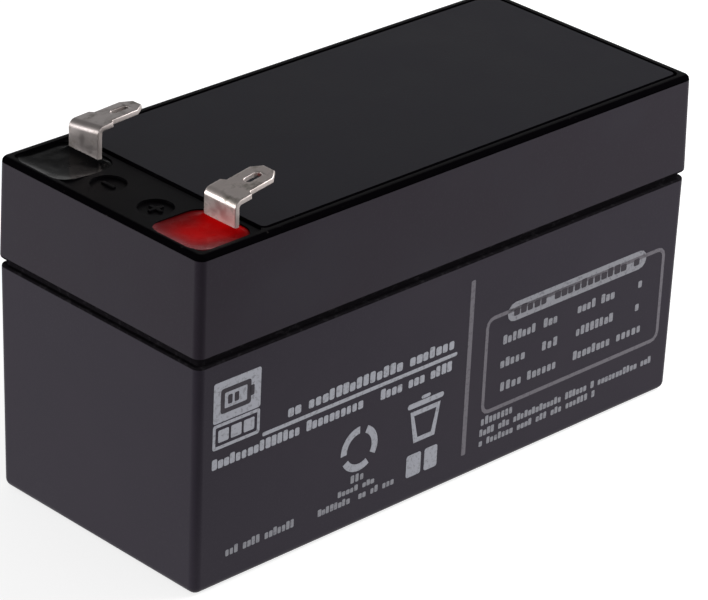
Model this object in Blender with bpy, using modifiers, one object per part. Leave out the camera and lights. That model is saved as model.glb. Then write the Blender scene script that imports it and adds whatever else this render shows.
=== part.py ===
"""Sealed lead-acid battery: six cells in two rows of three, with two bent push-on tabs.

Frame: the origin is the middle of the base, +X runs along the length with the terminals at
the -X end, -Y is the printed long side and +Z is up. All lengths are in metres.
"""

import math
from collections import namedtuple

import bmesh
import bpy
from mathutils import Matrix, Vector

# Whole battery
LENGTH = 0.0970             # over the lid's lower edge, which is the widest place
WIDTH = 0.0425
HEIGHT = 0.0520             # base to lid top
FIT = 0.0003                # clearance between pieces that touch

# Container
CASE_SETBACK = 0.00015      # the case's shoulder lies this far inside the lid's edge
CASE_DRAFT = 0.00035        # from the shoulder in to the base
WALL = 0.0020
FLOOR = 0.0022
PARTITION = 0.0013
TONGUE_SETBACK = 0.00075    # from the case's side in to the tongue that the lid sits over
TONGUE_HEIGHT = 0.00335
CORNER_RADIUS = 0.0013
BASE_RADIUS = 0.0012
POCKET_RADIUS = 0.0006
MUD_RIB = 0.0010            # width of a floor rib

# Lid
LID_HEIGHT = 0.0156
SEAM = 0.00095              # open line between the lid and the case
LID_DRAFT = 0.00025
RIM_RADIUS = 0.0008
LID_EDGE_RADIUS = 0.0005    # lid's lower outer edge
SHOULDER_RADIUS = 0.0003    # case's upper outer edge, below the seam
ROOF = 0.0018
RIM_WIDTH = 0.0013
SEAT_LEDGE = 0.00135
DECK_DROP = 0.0003
CORE_ROOF = 0.0018          # plastic left over the hollow between the wells
DISH_DEPTH = 0.0004         # shallow dish for each polarity mark, between the wells
DISH_FROM_MIDDLE = 0.0023   # lid's middle line to the dish's edge
DISH_FROM_WELL = 0.0010     # dish's edge to the well's inner wall

# Cover over the valves
COVER_THICKNESS = 0.0015
COVER_FROM_END = 0.01285    # from the lid's end to the cover's edge behind the terminals
COVER_RADIUS = 0.0010
COVER_EDGE = 0.00025
COVER_SKIRT = 0.0010
SKIRT_DEPTH = 0.0019
RING_WALL = 0.0008
RING_DEPTH = 0.0012

# Vent valves
VENT_RADIUS = 0.0030
VENT_BORE = 0.0013
CAP_WALL = 0.0009
CAP_HEIGHT = 0.0055
CAP_EDGE = 0.0004

# Terminal wells, posts and rings
POST_FROM_END = 0.0065
POST_FROM_SIDE = 0.00715
POST_RADIUS = 0.0022
TIP_RADIUS = 0.0014
TIP_HEIGHT = 0.0016
WELL_LENGTH = 0.0106        # along X
WELL_WIDTH = 0.0112         # along Y
WELL_RADIUS = 0.0028
WELL_DEPTH = 0.0067
RING_BORE_RADIUS = 0.0038   # counterbore for the sealing ring
RING_BORE_DEPTH = 0.0014
RING_SECTION = 0.0005
EPOXY_RISE = 0.0008
EPOXY_EDGE_DROP = 0.0001

# How a tab was folded: rise from the lid's top to the top of the bend, the tab's upward tilt,
# and the slant of its bend line, which lies lower towards +Y
Fold = namedtuple("Fold", "rise tilt slant")
FOLDS = {
    "positive": Fold(0.0040, math.radians(9.5), 0.0),
    "negative": Fold(0.0045, math.radians(6.5), math.radians(8.0)),
}

# Tabs
TAB_THICKNESS = 0.0008
TAB_WIDTH = 0.00475
TAB_LENGTH = 0.0057         # from the shoulder to the tip
TAB_CHAMFER = 0.0013
TAB_CHAMFER_LENGTH = 0.0015
SHOULDER_LENGTH = 0.0019    # full width, from the bend on
SHOULDER_RAMP = 0.0004
LEG_WIDTH = 0.00635
LEG_FROM_POST = 0.0032      # post axis to the leg's outer face
BEND_RADIUS = 0.0008        # of the strip's middle
FOOT_LIFT = 0.0025
FOOT_REACH = 0.0032
SLOT_FROM_TIP = 0.0030      # tip to the slot's middle
SLOT_LENGTH = 0.0028
SLOT_WIDTH = 0.0013
TAB_EDGE = 0.00012

# Plates and what joins them
POSITIVE_SHARE = 0.130      # plate's thickness as a share of the cell's width
NEGATIVE_SHARE = 0.092
PLATE_SIDE_GAP = 0.0013
STACK_SIDE_GAP = 0.0005
FRAME_BORDER = 0.0014       # grid frame round the paste
PASTE_RECESS = 0.00015
LUG_WIDTH = 0.0060
LUG_THICKNESS = 0.0012
LUG_FROM_EDGE = 0.0042      # plate's side to the lug's middle
LUG_HEIGHT = 0.0026
LUG_ROOT = 0.0008
STRAP_HEIGHT = 0.0026
STRAP_LIP = 0.0002          # strap past the outer lugs
SEPARATOR_OVERHANG = 0.0007
SEPARATOR_RISE = 0.0010
SEPARATOR_FOLD = 0.0006
LINK_WIDTH = 0.0050
LINK_THICKNESS = 0.0018

# Facets
ARC_STEPS = 5
EDGE_STEPS = 3
ROUND_STEPS = 24
RING_STEPS = 8

# Heights that follow
SHOULDER_Z = HEIGHT - LID_HEIGHT - SEAM
LID_BASE = HEIGHT - LID_HEIGHT
WALL_TOP = SHOULDER_Z + TONGUE_HEIGHT
COVER_BASE = HEIGHT - COVER_THICKNESS
SEAT_Z = COVER_BASE - FIT
CAP_TOP = COVER_BASE - FIT
CAP_BASE = CAP_TOP - CAP_HEIGHT
ROOF_TOP = CAP_BASE - FIT
ROOF_BASE = ROOF_TOP - ROOF
DECK_Z = HEIGHT - DECK_DROP
WELL_FLOOR = DECK_Z - WELL_DEPTH
LINK_BASE = WALL_TOP + FIT
LINK_TOP = LINK_BASE + LINK_THICKNESS
STRAP_BASE = WALL_TOP - STRAP_HEIGHT
PLATE_TOP = STRAP_BASE - LUG_HEIGHT
FOOT_BASE = WELL_FLOOR + FOOT_LIFT

# Half sizes in plan that follow
LID_HALF = Vector((LENGTH / 2, WIDTH / 2))
LID_TOP_HALF = LID_HALF - Vector((LID_DRAFT, LID_DRAFT))
CASE_HALF = LID_HALF - Vector((CASE_SETBACK, CASE_SETBACK))
CASE_BASE_HALF = CASE_HALF - Vector((CASE_DRAFT, CASE_DRAFT))
TONGUE_HALF = CASE_HALF - Vector((TONGUE_SETBACK, TONGUE_SETBACK))
INNER_HALF = CASE_HALF - Vector((WALL, WALL))

# Cells
CELL_LENGTH = (2 * INNER_HALF.x - 2 * PARTITION) / 3
CELL_WIDTH = (2 * INNER_HALF.y - PARTITION) / 2
CELL_PITCH = CELL_LENGTH + PARTITION
ROW_Y = (CELL_WIDTH + PARTITION) / 2
PLATE_WIDTH = CELL_LENGTH - 2 * PLATE_SIDE_GAP
POSITIVE_THICKNESS = POSITIVE_SHARE * CELL_WIDTH
NEGATIVE_THICKNESS = NEGATIVE_SHARE * CELL_WIDTH
LUG_OFFSET = PLATE_WIDTH / 2 - LUG_FROM_EDGE
SEPARATOR_THICKNESS = (CELL_WIDTH - 2 * STACK_SIDE_GAP - 3 * NEGATIVE_THICKNESS
                       - 2 * POSITIVE_THICKNESS - 8 * FIT) / 4
STACK_PITCH = (NEGATIVE_THICKNESS + POSITIVE_THICKNESS) / 2 + SEPARATOR_THICKNESS + 2 * FIT
PLATE_BASE = FLOOR + SEPARATOR_THICKNESS + 2 * FIT
NEGATIVE_STATIONS = (-2 * STACK_PITCH, 0.0, 2 * STACK_PITCH)
POSITIVE_STATIONS = (-STACK_PITCH, STACK_PITCH)

# Terminals and cover in plan
POST_X = POST_FROM_END - LENGTH / 2
POST_Y = WIDTH / 2 - POST_FROM_SIDE
DISH_ROOM = POST_Y - WELL_WIDTH / 2 - DISH_FROM_WELL - DISH_FROM_MIDDLE
DISH_RADIUS = DISH_ROOM / 2
DISH_Y = DISH_FROM_MIDDLE + DISH_RADIUS
COVER_LOW_X = COVER_FROM_END - LENGTH / 2
COVER_HIGH_X = LID_TOP_HALF.x - RIM_WIDTH - FIT
COVER_HALF_Y = LID_TOP_HALF.y - RIM_WIDTH - FIT
VENT_MIDDLE = (COVER_LOW_X + COVER_HIGH_X) / 2
VENT_PITCH = (COVER_HIGH_X - COVER_LOW_X - 2 * (SEAT_LEDGE + COVER_SKIRT)) / 3

# Each cell: its number, middle in plan, and the side (-1 or +1 along X) of its positive lugs
CELLS = [(number + 1, (number - 1) * CELL_PITCH, -ROW_Y, -1) for number in range(3)]
CELLS += [(number + 4, (1 - number) * CELL_PITCH, ROW_Y, 1) for number in range(3)]

# Each vent's place in plan: three to a row, spread evenly under the cover
VENTS = [(VENT_MIDDLE + (number - 1) * VENT_PITCH, -ROW_Y) for number in range(3)]
VENTS += [(VENT_MIDDLE + (1 - number) * VENT_PITCH, ROW_Y) for number in range(3)]

THROUGH = 0.0010            # how far a cutter runs past the face it opens
DOME_STEPS = (0.12, 0.3, 0.55, 0.8)     # shares of the way in, one ring of points each
DOME_POWER = 2.5            # how quickly the epoxy's dome flattens
SMOOTH_ANGLE = math.radians(35)

PARTS = None
CUTTERS = None


def clear_scene():
    """Remove every object that the scene starts with."""
    for old in list(bpy.data.objects):
        bpy.data.objects.remove(old, do_unlink=True)


def new_collection(name):
    """Add a collection to the scene."""
    collection = bpy.data.collections.new(name)
    bpy.context.scene.collection.children.link(collection)
    return collection


def finish(name, colour, roughness, metallic=0.0):
    """Make a plain Principled material."""
    made = bpy.data.materials.new(name)
    made.use_nodes = True
    shader = made.node_tree.nodes["Principled BSDF"]
    shader.inputs["Base Color"].default_value = (*colour, 1.0)
    shader.inputs["Roughness"].default_value = roughness
    shader.inputs["Metallic"].default_value = metallic
    return made


def place(name, bm, material=None):
    """Turn a bmesh into an object: a part when it has a material, and otherwise a cutter."""
    mesh = bpy.data.meshes.new(name)
    bmesh.ops.recalc_face_normals(bm, faces=bm.faces)
    bm.to_mesh(mesh)
    bm.free()
    mesh.shade_smooth()
    mesh.set_sharp_from_angle(angle=SMOOTH_ANGLE)
    obj = bpy.data.objects.new(name, mesh)
    if material is None:
        CUTTERS.objects.link(obj)
        obj.hide_render = True
        obj.display_type = "WIRE"
    else:
        PARTS.objects.link(obj)
        mesh.materials.append(material)
    return obj


def combine(target, tool, operation):
    """Join a tool to the target or cut it away."""
    modifier = target.modifiers.new(tool.name, "BOOLEAN")
    modifier.operation = operation
    modifier.solver = "EXACT"
    modifier.object = tool


def bevel(bm, chosen, radius, steps):
    """Round the edges that the test picks."""
    edges = [edge for edge in bm.edges if chosen(edge)]
    bmesh.ops.bevel(bm, geom=edges, offset=radius, segments=steps, profile=0.5,
                    affect="EDGES", clamp_overlap=True)


def upright(edge):
    """True for an edge that rises from one level to another."""
    low, high = edge.verts
    return abs(low.co.z - high.co.z) > abs(low.co.x - high.co.x) + abs(low.co.y - high.co.y)


def at_level(level):
    """A test for edges that lie in the plane z = level."""
    return lambda edge: all(abs(vert.co.z - level) < 1e-6 for vert in edge.verts)


def drafted_block(low_z, low_half, high_z, high_half):
    """A block round the Z axis whose base and top differ in size."""
    bm = bmesh.new()
    bmesh.ops.create_cube(bm, size=2.0)
    for vert in bm.verts:
        half = high_half if vert.co.z > 0 else low_half
        level = high_z if vert.co.z > 0 else low_z
        vert.co = Vector((vert.co.x * half.x, vert.co.y * half.y, level))
    return bm


def add_block(bm, low, high, corner=0.0):
    """Add a block between two corners, with its upright edges rounded if asked."""
    low, high = Vector(low), Vector(high)
    part = bmesh.new()
    bmesh.ops.create_cube(part, size=1.0)
    bmesh.ops.scale(part, vec=high - low, verts=part.verts)
    bmesh.ops.translate(part, vec=(low + high) / 2, verts=part.verts)
    if corner > 0:
        bevel(part, upright, corner, ARC_STEPS)
    merge(bm, part)


def add_cylinder(bm, x, y, low_z, high_z, radius):
    """Add an upright cylinder."""
    middle = Matrix.Translation((x, y, (low_z + high_z) / 2))
    bmesh.ops.create_cone(bm, cap_ends=True, segments=ROUND_STEPS, radius1=radius,
                          radius2=radius, depth=high_z - low_z, matrix=middle)


def add_ring(bm, x, y, low_z, high_z, inner, outer):
    """Add an upright ring: the strip between two circles, raised."""
    base = Matrix.Translation((x, y, low_z))
    rims = [bmesh.ops.create_circle(bm, segments=ROUND_STEPS, radius=radius, matrix=base)["verts"]
            for radius in (inner, outer)]
    edges = {edge for verts in rims for vert in verts for edge in vert.link_edges}
    strip = bmesh.ops.bridge_loops(bm, edges=list(edges))["faces"]
    raised = bmesh.ops.extrude_face_region(bm, geom=strip)["geom"]
    lifted = [item for item in raised if isinstance(item, bmesh.types.BMVert)]
    bmesh.ops.translate(bm, vec=(0, 0, high_z - low_z), verts=lifted)


def merge(bm, other):
    """Copy another bmesh into this one as a further body."""
    carrier = bpy.data.meshes.new("carrier")
    other.to_mesh(carrier)
    other.free()
    bm.from_mesh(carrier)
    bpy.data.meshes.remove(carrier)


def block_tool(name, low, high, corner=0.0):
    """A cutter or joiner that is one block."""
    bm = bmesh.new()
    add_block(bm, low, high, corner)
    return place(name, bm)


def turned(name, profile, material, x=0.0, y=0.0):
    """Turn a profile of (radius, z) points round an upright axis at x, y."""
    mesh = bpy.data.meshes.new(name)
    points = [(radius, 0.0, z) for radius, z in profile]
    closed = profile[0][0] > 0
    edges = [(step, step + 1) for step in range(len(points) - 1)]
    if closed:
        edges.append((len(points) - 1, 0))
    mesh.from_pydata(points, edges, [])
    mesh.materials.append(material)
    obj = bpy.data.objects.new(name, mesh)
    PARTS.objects.link(obj)
    obj.location = (x, y, 0.0)
    screw = obj.modifiers.new("turn", "SCREW")
    screw.steps = ROUND_STEPS
    screw.render_steps = ROUND_STEPS
    screw.use_merge_vertices = True
    screw.merge_threshold = 0.00001
    screw.use_smooth_shade = True
    return obj


def post_places():
    """Plan position of each terminal's post: positive, then negative."""
    return [(POST_X, -POST_Y), (POST_X, POST_Y)]


def make_container(plastic):
    """The open case with its six pockets, floor ribs and the tongue under the lid."""
    bm = drafted_block(0.0, CASE_BASE_HALF, SHOULDER_Z, CASE_HALF)
    bevel(bm, upright, CORNER_RADIUS, ARC_STEPS)
    bevel(bm, at_level(0.0), BASE_RADIUS, ARC_STEPS)
    bevel(bm, at_level(SHOULDER_Z), SHOULDER_RADIUS, EDGE_STEPS)
    case = place("container", bm, plastic)

    tongue = bmesh.new()
    add_block(tongue, (-TONGUE_HALF.x, -TONGUE_HALF.y, SHOULDER_Z - WALL),
              (TONGUE_HALF.x, TONGUE_HALF.y, WALL_TOP), POCKET_RADIUS)
    combine(case, place("tongue", tongue), "UNION")

    pockets = bmesh.new()
    for _, x, y, _ in CELLS:
        add_block(pockets, (x - CELL_LENGTH / 2, y - CELL_WIDTH / 2, FLOOR),
                  (x + CELL_LENGTH / 2, y + CELL_WIDTH / 2, WALL_TOP + THROUGH), POCKET_RADIUS)
    combine(case, place("cell_pockets", pockets), "DIFFERENCE")

    ribs = bmesh.new()
    for row in (-ROW_Y, ROW_Y):
        for station in NEGATIVE_STATIONS:
            y = row + station
            add_block(ribs, (-INNER_HALF.x - WALL / 2, y - MUD_RIB / 2, FLOOR / 2),
                      (INNER_HALF.x + WALL / 2, y + MUD_RIB / 2, PLATE_BASE - FIT))
    combine(case, place("mud_ribs", ribs), "UNION")
    return case


def cut_lid_below(lid):
    """Open the lid from below: the seat for the tongue, the head space and the cores."""
    low = LID_BASE - THROUGH
    grow = Vector((FIT, FIT))
    seat = TONGUE_HALF + grow
    combine(lid, block_tool("tongue_seat", (-seat.x, -seat.y, low),
                            (seat.x, seat.y, WALL_TOP + FIT), POCKET_RADIUS + FIT), "DIFFERENCE")
    combine(lid, block_tool("head_space", (-INNER_HALF.x, -INNER_HALF.y, low),
                            (INNER_HALF.x, INNER_HALF.y, ROOF_BASE), POCKET_RADIUS), "DIFFERENCE")
    cores = bmesh.new()
    inner_y = PARTITION
    outer_y = POST_Y - WELL_WIDTH / 2 - ROOF
    for side in (-1, 1):
        ends = sorted((side * inner_y, side * outer_y))
        add_block(cores, (-INNER_HALF.x + PARTITION, ends[0], ROOF_BASE - THROUGH),
                  (COVER_LOW_X - FIT - ROOF / 2, ends[1], DECK_Z - CORE_ROOF), POCKET_RADIUS)
    combine(lid, place("cores", cores), "DIFFERENCE")


def cut_lid_above(lid):
    """Open the lid from above: deck, cover seat, valve chamber, wells and dishes."""
    high = HEIGHT + THROUGH
    side = COVER_HALF_Y + FIT
    deck = block_tool("deck", (-LID_TOP_HALF.x + RIM_WIDTH, -side, DECK_Z),
                      (COVER_LOW_X, side, high), COVER_RADIUS)
    combine(lid, deck, "DIFFERENCE")
    seat = block_tool("cover_seat", (COVER_LOW_X - FIT, -side - FIT / 10, SEAT_Z),
                      (COVER_HIGH_X + FIT, side + FIT / 10, high + THROUGH), COVER_RADIUS + FIT)
    combine(lid, seat, "DIFFERENCE")
    chamber = block_tool("valve_chamber",
                         (COVER_LOW_X - FIT + SEAT_LEDGE, -side + SEAT_LEDGE, ROOF_TOP),
                         (COVER_HIGH_X + FIT - SEAT_LEDGE, side - SEAT_LEDGE, high), COVER_RADIUS)
    combine(lid, chamber, "DIFFERENCE")

    wells = bmesh.new()
    dishes = bmesh.new()
    along, across = WELL_LENGTH / 2, WELL_WIDTH / 2
    for x, y in post_places():
        add_block(wells, (x - along, y - across, WELL_FLOOR), (x + along, y + across, high),
                  WELL_RADIUS)
        add_cylinder(dishes, x, math.copysign(DISH_Y, y), DECK_Z - DISH_DEPTH, high, DISH_RADIUS)
    combine(lid, place("wells", wells), "DIFFERENCE")
    combine(lid, place("dishes", dishes), "DIFFERENCE")


def add_lid_ribs(lid):
    """Ribs under the roof that meet the case's partitions, notched for the links."""
    base = WALL_TOP + FIT
    top = ROOF_BASE + ROOF / 2
    bite = WALL / 2
    long_rib = block_tool("long_rib", (-INNER_HALF.x - bite, -PARTITION / 2, base),
                          (INNER_HALF.x + bite, PARTITION / 2, top))
    combine(lid, long_rib, "UNION")
    for name, x in (("cross_rib_a", -CELL_PITCH / 2), ("cross_rib_b", CELL_PITCH / 2)):
        rib = block_tool(name, (x - PARTITION / 2, -INNER_HALF.y - bite, base),
                         (x + PARTITION / 2, INNER_HALF.y + bite, top))
        combine(lid, rib, "UNION")
    notches = bmesh.new()
    half = LINK_WIDTH / 2 + FIT
    reach = PARTITION
    for (start_x, start_y), (end_x, end_y) in link_ends():
        x, y = (start_x + end_x) / 2, (start_y + end_y) / 2
        along_x = abs(end_x - start_x) > abs(end_y - start_y)
        size = (reach, half) if along_x else (half, reach)
        add_block(notches, (x - size[0], y - size[1], base - THROUGH),
                  (x + size[0], y + size[1], LINK_TOP + FIT))
    combine(lid, place("link_notches", notches), "DIFFERENCE")


def add_vents(lid):
    """Vent tubes on the roof, their bores, and the post holes with a place for each ring."""
    tubes = bmesh.new()
    bores = bmesh.new()
    for x, y in VENTS:
        add_cylinder(tubes, x, y, ROOF_TOP - ROOF / 2, CAP_TOP - CAP_WALL - FIT, VENT_RADIUS)
        add_cylinder(bores, x, y, ROOF_BASE - THROUGH, CAP_TOP, VENT_BORE)
    ring_bores = bmesh.new()
    for x, y in post_places():
        add_cylinder(bores, x, y, ROOF_BASE - THROUGH, WELL_FLOOR + THROUGH, POST_RADIUS + FIT)
        add_cylinder(ring_bores, x, y, WELL_FLOOR - RING_BORE_DEPTH, WELL_FLOOR + THROUGH,
                     RING_BORE_RADIUS)
    combine(lid, place("vent_tubes", tubes), "UNION")
    combine(lid, place("bores", bores), "DIFFERENCE")
    combine(lid, place("ring_bores", ring_bores), "DIFFERENCE")


def make_lid(plastic):
    """The lid: a deep cap with the terminal deck at -X and the valve chamber behind it."""
    bm = drafted_block(LID_BASE, LID_HALF, HEIGHT, LID_TOP_HALF)
    bevel(bm, upright, CORNER_RADIUS, ARC_STEPS)
    bevel(bm, at_level(HEIGHT), RIM_RADIUS, ARC_STEPS)
    bevel(bm, at_level(LID_BASE), LID_EDGE_RADIUS, EDGE_STEPS)
    lid = place("lid", bm, plastic)
    cut_lid_below(lid)
    cut_lid_above(lid)
    add_lid_ribs(lid)
    add_vents(lid)
    return lid


def make_cover(plastic):
    """The plate over the valves, with a skirt in the chamber and a ring round each cap."""
    bm = bmesh.new()
    add_block(bm, (COVER_LOW_X, -COVER_HALF_Y, COVER_BASE),
              (COVER_HIGH_X, COVER_HALF_Y, HEIGHT), COVER_RADIUS)
    bevel(bm, at_level(HEIGHT), COVER_EDGE, 2)
    cover = place("valve_cover", bm, plastic)

    inset = SEAT_LEDGE
    low_x, high_x = COVER_LOW_X + inset, COVER_HIGH_X - inset
    half_y = COVER_HALF_Y - inset
    skirt = block_tool("skirt", (low_x, -half_y, COVER_BASE - SKIRT_DEPTH),
                       (high_x, half_y, COVER_BASE + COVER_THICKNESS / 2), COVER_RADIUS)
    combine(cover, skirt, "UNION")
    low_x, high_x = low_x + COVER_SKIRT, high_x - COVER_SKIRT
    half_y = half_y - COVER_SKIRT
    hollow = block_tool("skirt_hollow", (low_x, -half_y, COVER_BASE - SKIRT_DEPTH - THROUGH),
                        (high_x, half_y, COVER_BASE), POCKET_RADIUS)
    combine(cover, hollow, "DIFFERENCE")

    rings = bmesh.new()
    inner = VENT_RADIUS + FIT + CAP_WALL + FIT
    for x, y in VENTS:
        add_ring(rings, x, y, COVER_BASE - RING_DEPTH, COVER_BASE + COVER_THICKNESS / 2,
                 inner, inner + RING_WALL)
    combine(cover, place("cap_rings", rings), "UNION")
    return cover


def make_valve_caps(rubber):
    """One rubber cap over each vent tube, which lifts to let gas out."""
    inner = VENT_RADIUS + FIT
    outer = inner + CAP_WALL
    profile = [(0.0, CAP_TOP), (outer - CAP_EDGE, CAP_TOP), (outer, CAP_TOP - CAP_EDGE),
               (outer, CAP_BASE), (inner, CAP_BASE), (inner, CAP_TOP - CAP_WALL),
               (0.0, CAP_TOP - CAP_WALL)]
    for (number, _, _, _), (x, y) in zip(CELLS, VENTS):
        turned(f"valve_cap_{number}", profile, rubber, x, y)


def on_strip(along, across, fold):
    """Point of the folded strip's middle surface, from the post's axis at the base of the case.

    along is measured up the leg from where the bend starts on the middle line, and on along
    the tab. across runs towards +Y. The bend is part of a cylinder whose axis lies in the
    leg's plane, turned by the slant.
    """
    level = HEIGHT + fold.rise - TAB_THICKNESS / 2 - BEND_RADIUS
    full_turn = math.pi / 2 - fold.tilt
    beside = across * math.cos(fold.slant) - along * math.sin(fold.slant)
    onward = across * math.sin(fold.slant) + along * math.cos(fold.slant)
    turn = min(max(onward / BEND_RADIUS, 0.0), full_turn)
    straight = onward if onward < 0 else 0.0
    past = max(onward - BEND_RADIUS * full_turn, 0.0)
    up = straight + BEND_RADIUS * math.sin(turn) + past * math.cos(turn)
    out = BEND_RADIUS * (1 - math.cos(turn)) + past * math.sin(turn)
    return Vector((LEG_FROM_POST + TAB_THICKNESS / 2 + out,
                   beside * math.cos(fold.slant) + up * math.sin(fold.slant),
                   level - beside * math.sin(fold.slant) + up * math.cos(fold.slant)))


def tab_start(fold):
    """Distance along the middle line from the bend's start to the flat tab."""
    return BEND_RADIUS * (math.pi / 2 - fold.tilt) / math.cos(fold.slant)


def strip_rows(fold, grow):
    """Pairs of points across the strip from its foot to its tip, from the post's axis.

    The foot lies on the post and the leg rises at +X of it. grow is added all round for the
    clearance in the epoxy.
    """
    leg_x = LEG_FROM_POST + TAB_THICKNESS / 2
    foot_z = FOOT_BASE + TAB_THICKNESS / 2
    leg_half = LEG_WIDTH / 2 + grow
    tab_half = TAB_WIDTH / 2 + grow

    foot = [(-FOOT_REACH - grow, foot_z)]
    for step in range(ARC_STEPS + 1):
        turn = math.pi / 2 * step / ARC_STEPS
        foot.append((leg_x - BEND_RADIUS + BEND_RADIUS * math.sin(turn),
                     foot_z + BEND_RADIUS - BEND_RADIUS * math.cos(turn)))
    rows = [[Vector((x, side * leg_half, z)) for side in (-1, 1)] for x, z in foot]

    for step in range(ARC_STEPS + 1):
        onward = BEND_RADIUS * (math.pi / 2 - fold.tilt) * step / ARC_STEPS
        rows.append([on_strip((onward - side * leg_half * math.sin(fold.slant))
                              / math.cos(fold.slant), side * leg_half, fold)
                     for side in (-1, 1)])
    start = tab_start(fold)
    step_at = start + SHOULDER_LENGTH + SHOULDER_RAMP
    for along, half in ((start + SHOULDER_LENGTH, leg_half), (step_at, tab_half),
                        (step_at + TAB_LENGTH - TAB_CHAMFER_LENGTH, tab_half),
                        (step_at + TAB_LENGTH, tab_half - TAB_CHAMFER)):
        rows.append([on_strip(along, side * half, fold) for side in (-1, 1)])
    return rows


def bent_strip(name, x, y, fold, grow, material=None):
    """A flat strip carried along its rows and given its thickness."""
    bm = bmesh.new()
    last = None
    for row in strip_rows(fold, grow):
        pair = [bm.verts.new(Vector((x, y, 0.0)) + point) for point in row]
        if last:
            bm.faces.new((last[0], pair[0], pair[1], last[1]))
        last = pair
    strip = place(name, bm, material)
    thick = strip.modifiers.new("thickness", "SOLIDIFY")
    thick.thickness = TAB_THICKNESS + 2 * grow
    thick.offset = 0.0
    thick.use_even_offset = True
    return strip


def slot_matrix(x, y, fold):
    """Place and turn of the slot: its length runs along the tab and its depth through it."""
    along = tab_start(fold) + SHOULDER_LENGTH + SHOULDER_RAMP + TAB_LENGTH - SLOT_FROM_TIP
    middle = on_strip(along, 0.0, fold)
    length_axis = (on_strip(along + TAB_WIDTH, 0.0, fold) - middle).normalized()
    width_axis = (on_strip(along, SLOT_WIDTH, fold) - middle).normalized()
    turn = Matrix((length_axis, width_axis, length_axis.cross(width_axis))).transposed()
    return Matrix.Translation(Vector((x, y, 0.0)) + middle) @ turn.to_4x4()


def make_terminal(name, x, y, fold, metal):
    """One tab: foot over the post's tip, upright leg, and flat tab with its slot."""
    strip = bent_strip(name, x, y, fold, 0.0, metal)
    depth = TAB_THICKNESS / 2 + THROUGH
    slot = bmesh.new()
    add_block(slot, (-SLOT_LENGTH / 2, -SLOT_WIDTH / 2, -depth),
              (SLOT_LENGTH / 2, SLOT_WIDTH / 2, depth), SLOT_WIDTH / 2 - FIT / 10)
    slot_cutter = place(name + "_slot", slot)
    slot_cutter.matrix_world = slot_matrix(x, y, fold)
    combine(strip, slot_cutter, "DIFFERENCE")
    hole = bmesh.new()
    add_cylinder(hole, x, y, FOOT_BASE - THROUGH, FOOT_BASE + TAB_THICKNESS + THROUGH,
                 TIP_RADIUS + FIT)
    combine(strip, place(name + "_foot_hole", hole), "DIFFERENCE")
    soften = strip.modifiers.new("edges", "BEVEL")
    soften.width = TAB_EDGE
    soften.segments = 1
    soften.limit_method = "ANGLE"
    soften.angle_limit = math.radians(50)
    return strip


def rounded_ring(x, y, along, across, radius, level):
    """Points of a rectangle with rounded corners at one level, in order."""
    points = []
    for corner in range(4):
        middle = math.pi / 4 + corner * math.pi / 2
        centre_x = math.copysign(along - radius, math.cos(middle))
        centre_y = math.copysign(across - radius, math.sin(middle))
        for step in range(ARC_STEPS + 1):
            turn = math.pi / 2 * (corner + step / ARC_STEPS)
            points.append((x + centre_x + radius * math.cos(turn),
                           y + centre_y + radius * math.sin(turn), level))
    return points


def domed_plug(x, y):
    """A plug that fills the well and swells to a low dome: a loft of rounded rectangles."""
    along, across = WELL_LENGTH / 2 - FIT, WELL_WIDTH / 2 - FIT
    radius = WELL_RADIUS - FIT
    edge_z = DECK_Z - EPOXY_EDGE_DROP
    sections = [(along, across, radius, WELL_FLOOR + FIT), (along, across, radius, edge_z)]
    for share in DOME_STEPS:
        keep = 1 - share
        rise = EPOXY_RISE * (1 - keep ** DOME_POWER)
        sections.append((along * keep, across * keep, radius * keep, edge_z + rise))
    bm = bmesh.new()
    rings = [[bm.verts.new(point) for point in rounded_ring(x, y, *section)]
             for section in sections]
    count = len(rings[0])
    for low, high in zip(rings, rings[1:]):
        for step in range(count):
            after = (step + 1) % count
            bm.faces.new((low[step], low[after], high[after], high[step]))
    bm.faces.new(list(reversed(rings[0])))
    bm.faces.new(rings[-1])
    return bm


def make_epoxy(name, x, y, fold, resin):
    """The coloured epoxy in one well, cast round the foot, the post and the leg."""
    plug = place(name, domed_plug(x, y), resin)
    combine(plug, bent_strip(name + "_strip_space", x, y, fold, FIT), "DIFFERENCE")
    bm = bmesh.new()
    add_cylinder(bm, x, y, WELL_FLOOR - THROUGH, FOOT_BASE + FIT / 2, POST_RADIUS + FIT)
    add_cylinder(bm, x, y, FOOT_BASE - FIT / 2, FOOT_BASE - FIT + TIP_HEIGHT + FIT,
                 TIP_RADIUS + FIT)
    space = place(name + "_post_space", bm)
    combine(plug, space, "DIFFERENCE")
    plug.modifiers[-1].use_self = True
    return plug


def make_sealing_ring(name, x, y, rubber):
    """The ring round a post, in the counterbore of the well's floor."""
    middle = (POST_RADIUS + FIT + RING_BORE_RADIUS) / 2
    level = WELL_FLOOR - RING_BORE_DEPTH + FIT + RING_SECTION
    profile = []
    for step in range(RING_STEPS):
        turn = math.pi / 2 - 2 * math.pi * step / RING_STEPS
        profile.append((middle + RING_SECTION * math.cos(turn),
                        level + RING_SECTION * math.sin(turn)))
    return turned(name, profile, rubber, x, y)


def make_plates(name, x, y, stations, thickness):
    """Pasted plates standing side by side, each with its paste a little below the frame."""
    bm = bmesh.new()
    half = PLATE_WIDTH / 2
    for station in stations:
        part = bmesh.new()
        add_block(part, (x - half, y + station - thickness / 2, PLATE_BASE),
                  (x + half, y + station + thickness / 2, PLATE_TOP))
        part.normal_update()
        faces = [face for face in part.faces if abs(face.normal.y) > 0.9]
        bmesh.ops.inset_individual(part, faces=faces, thickness=FRAME_BORDER,
                                   depth=-PASTE_RECESS)
        merge(bm, part)
    return place(name, bm)


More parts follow.
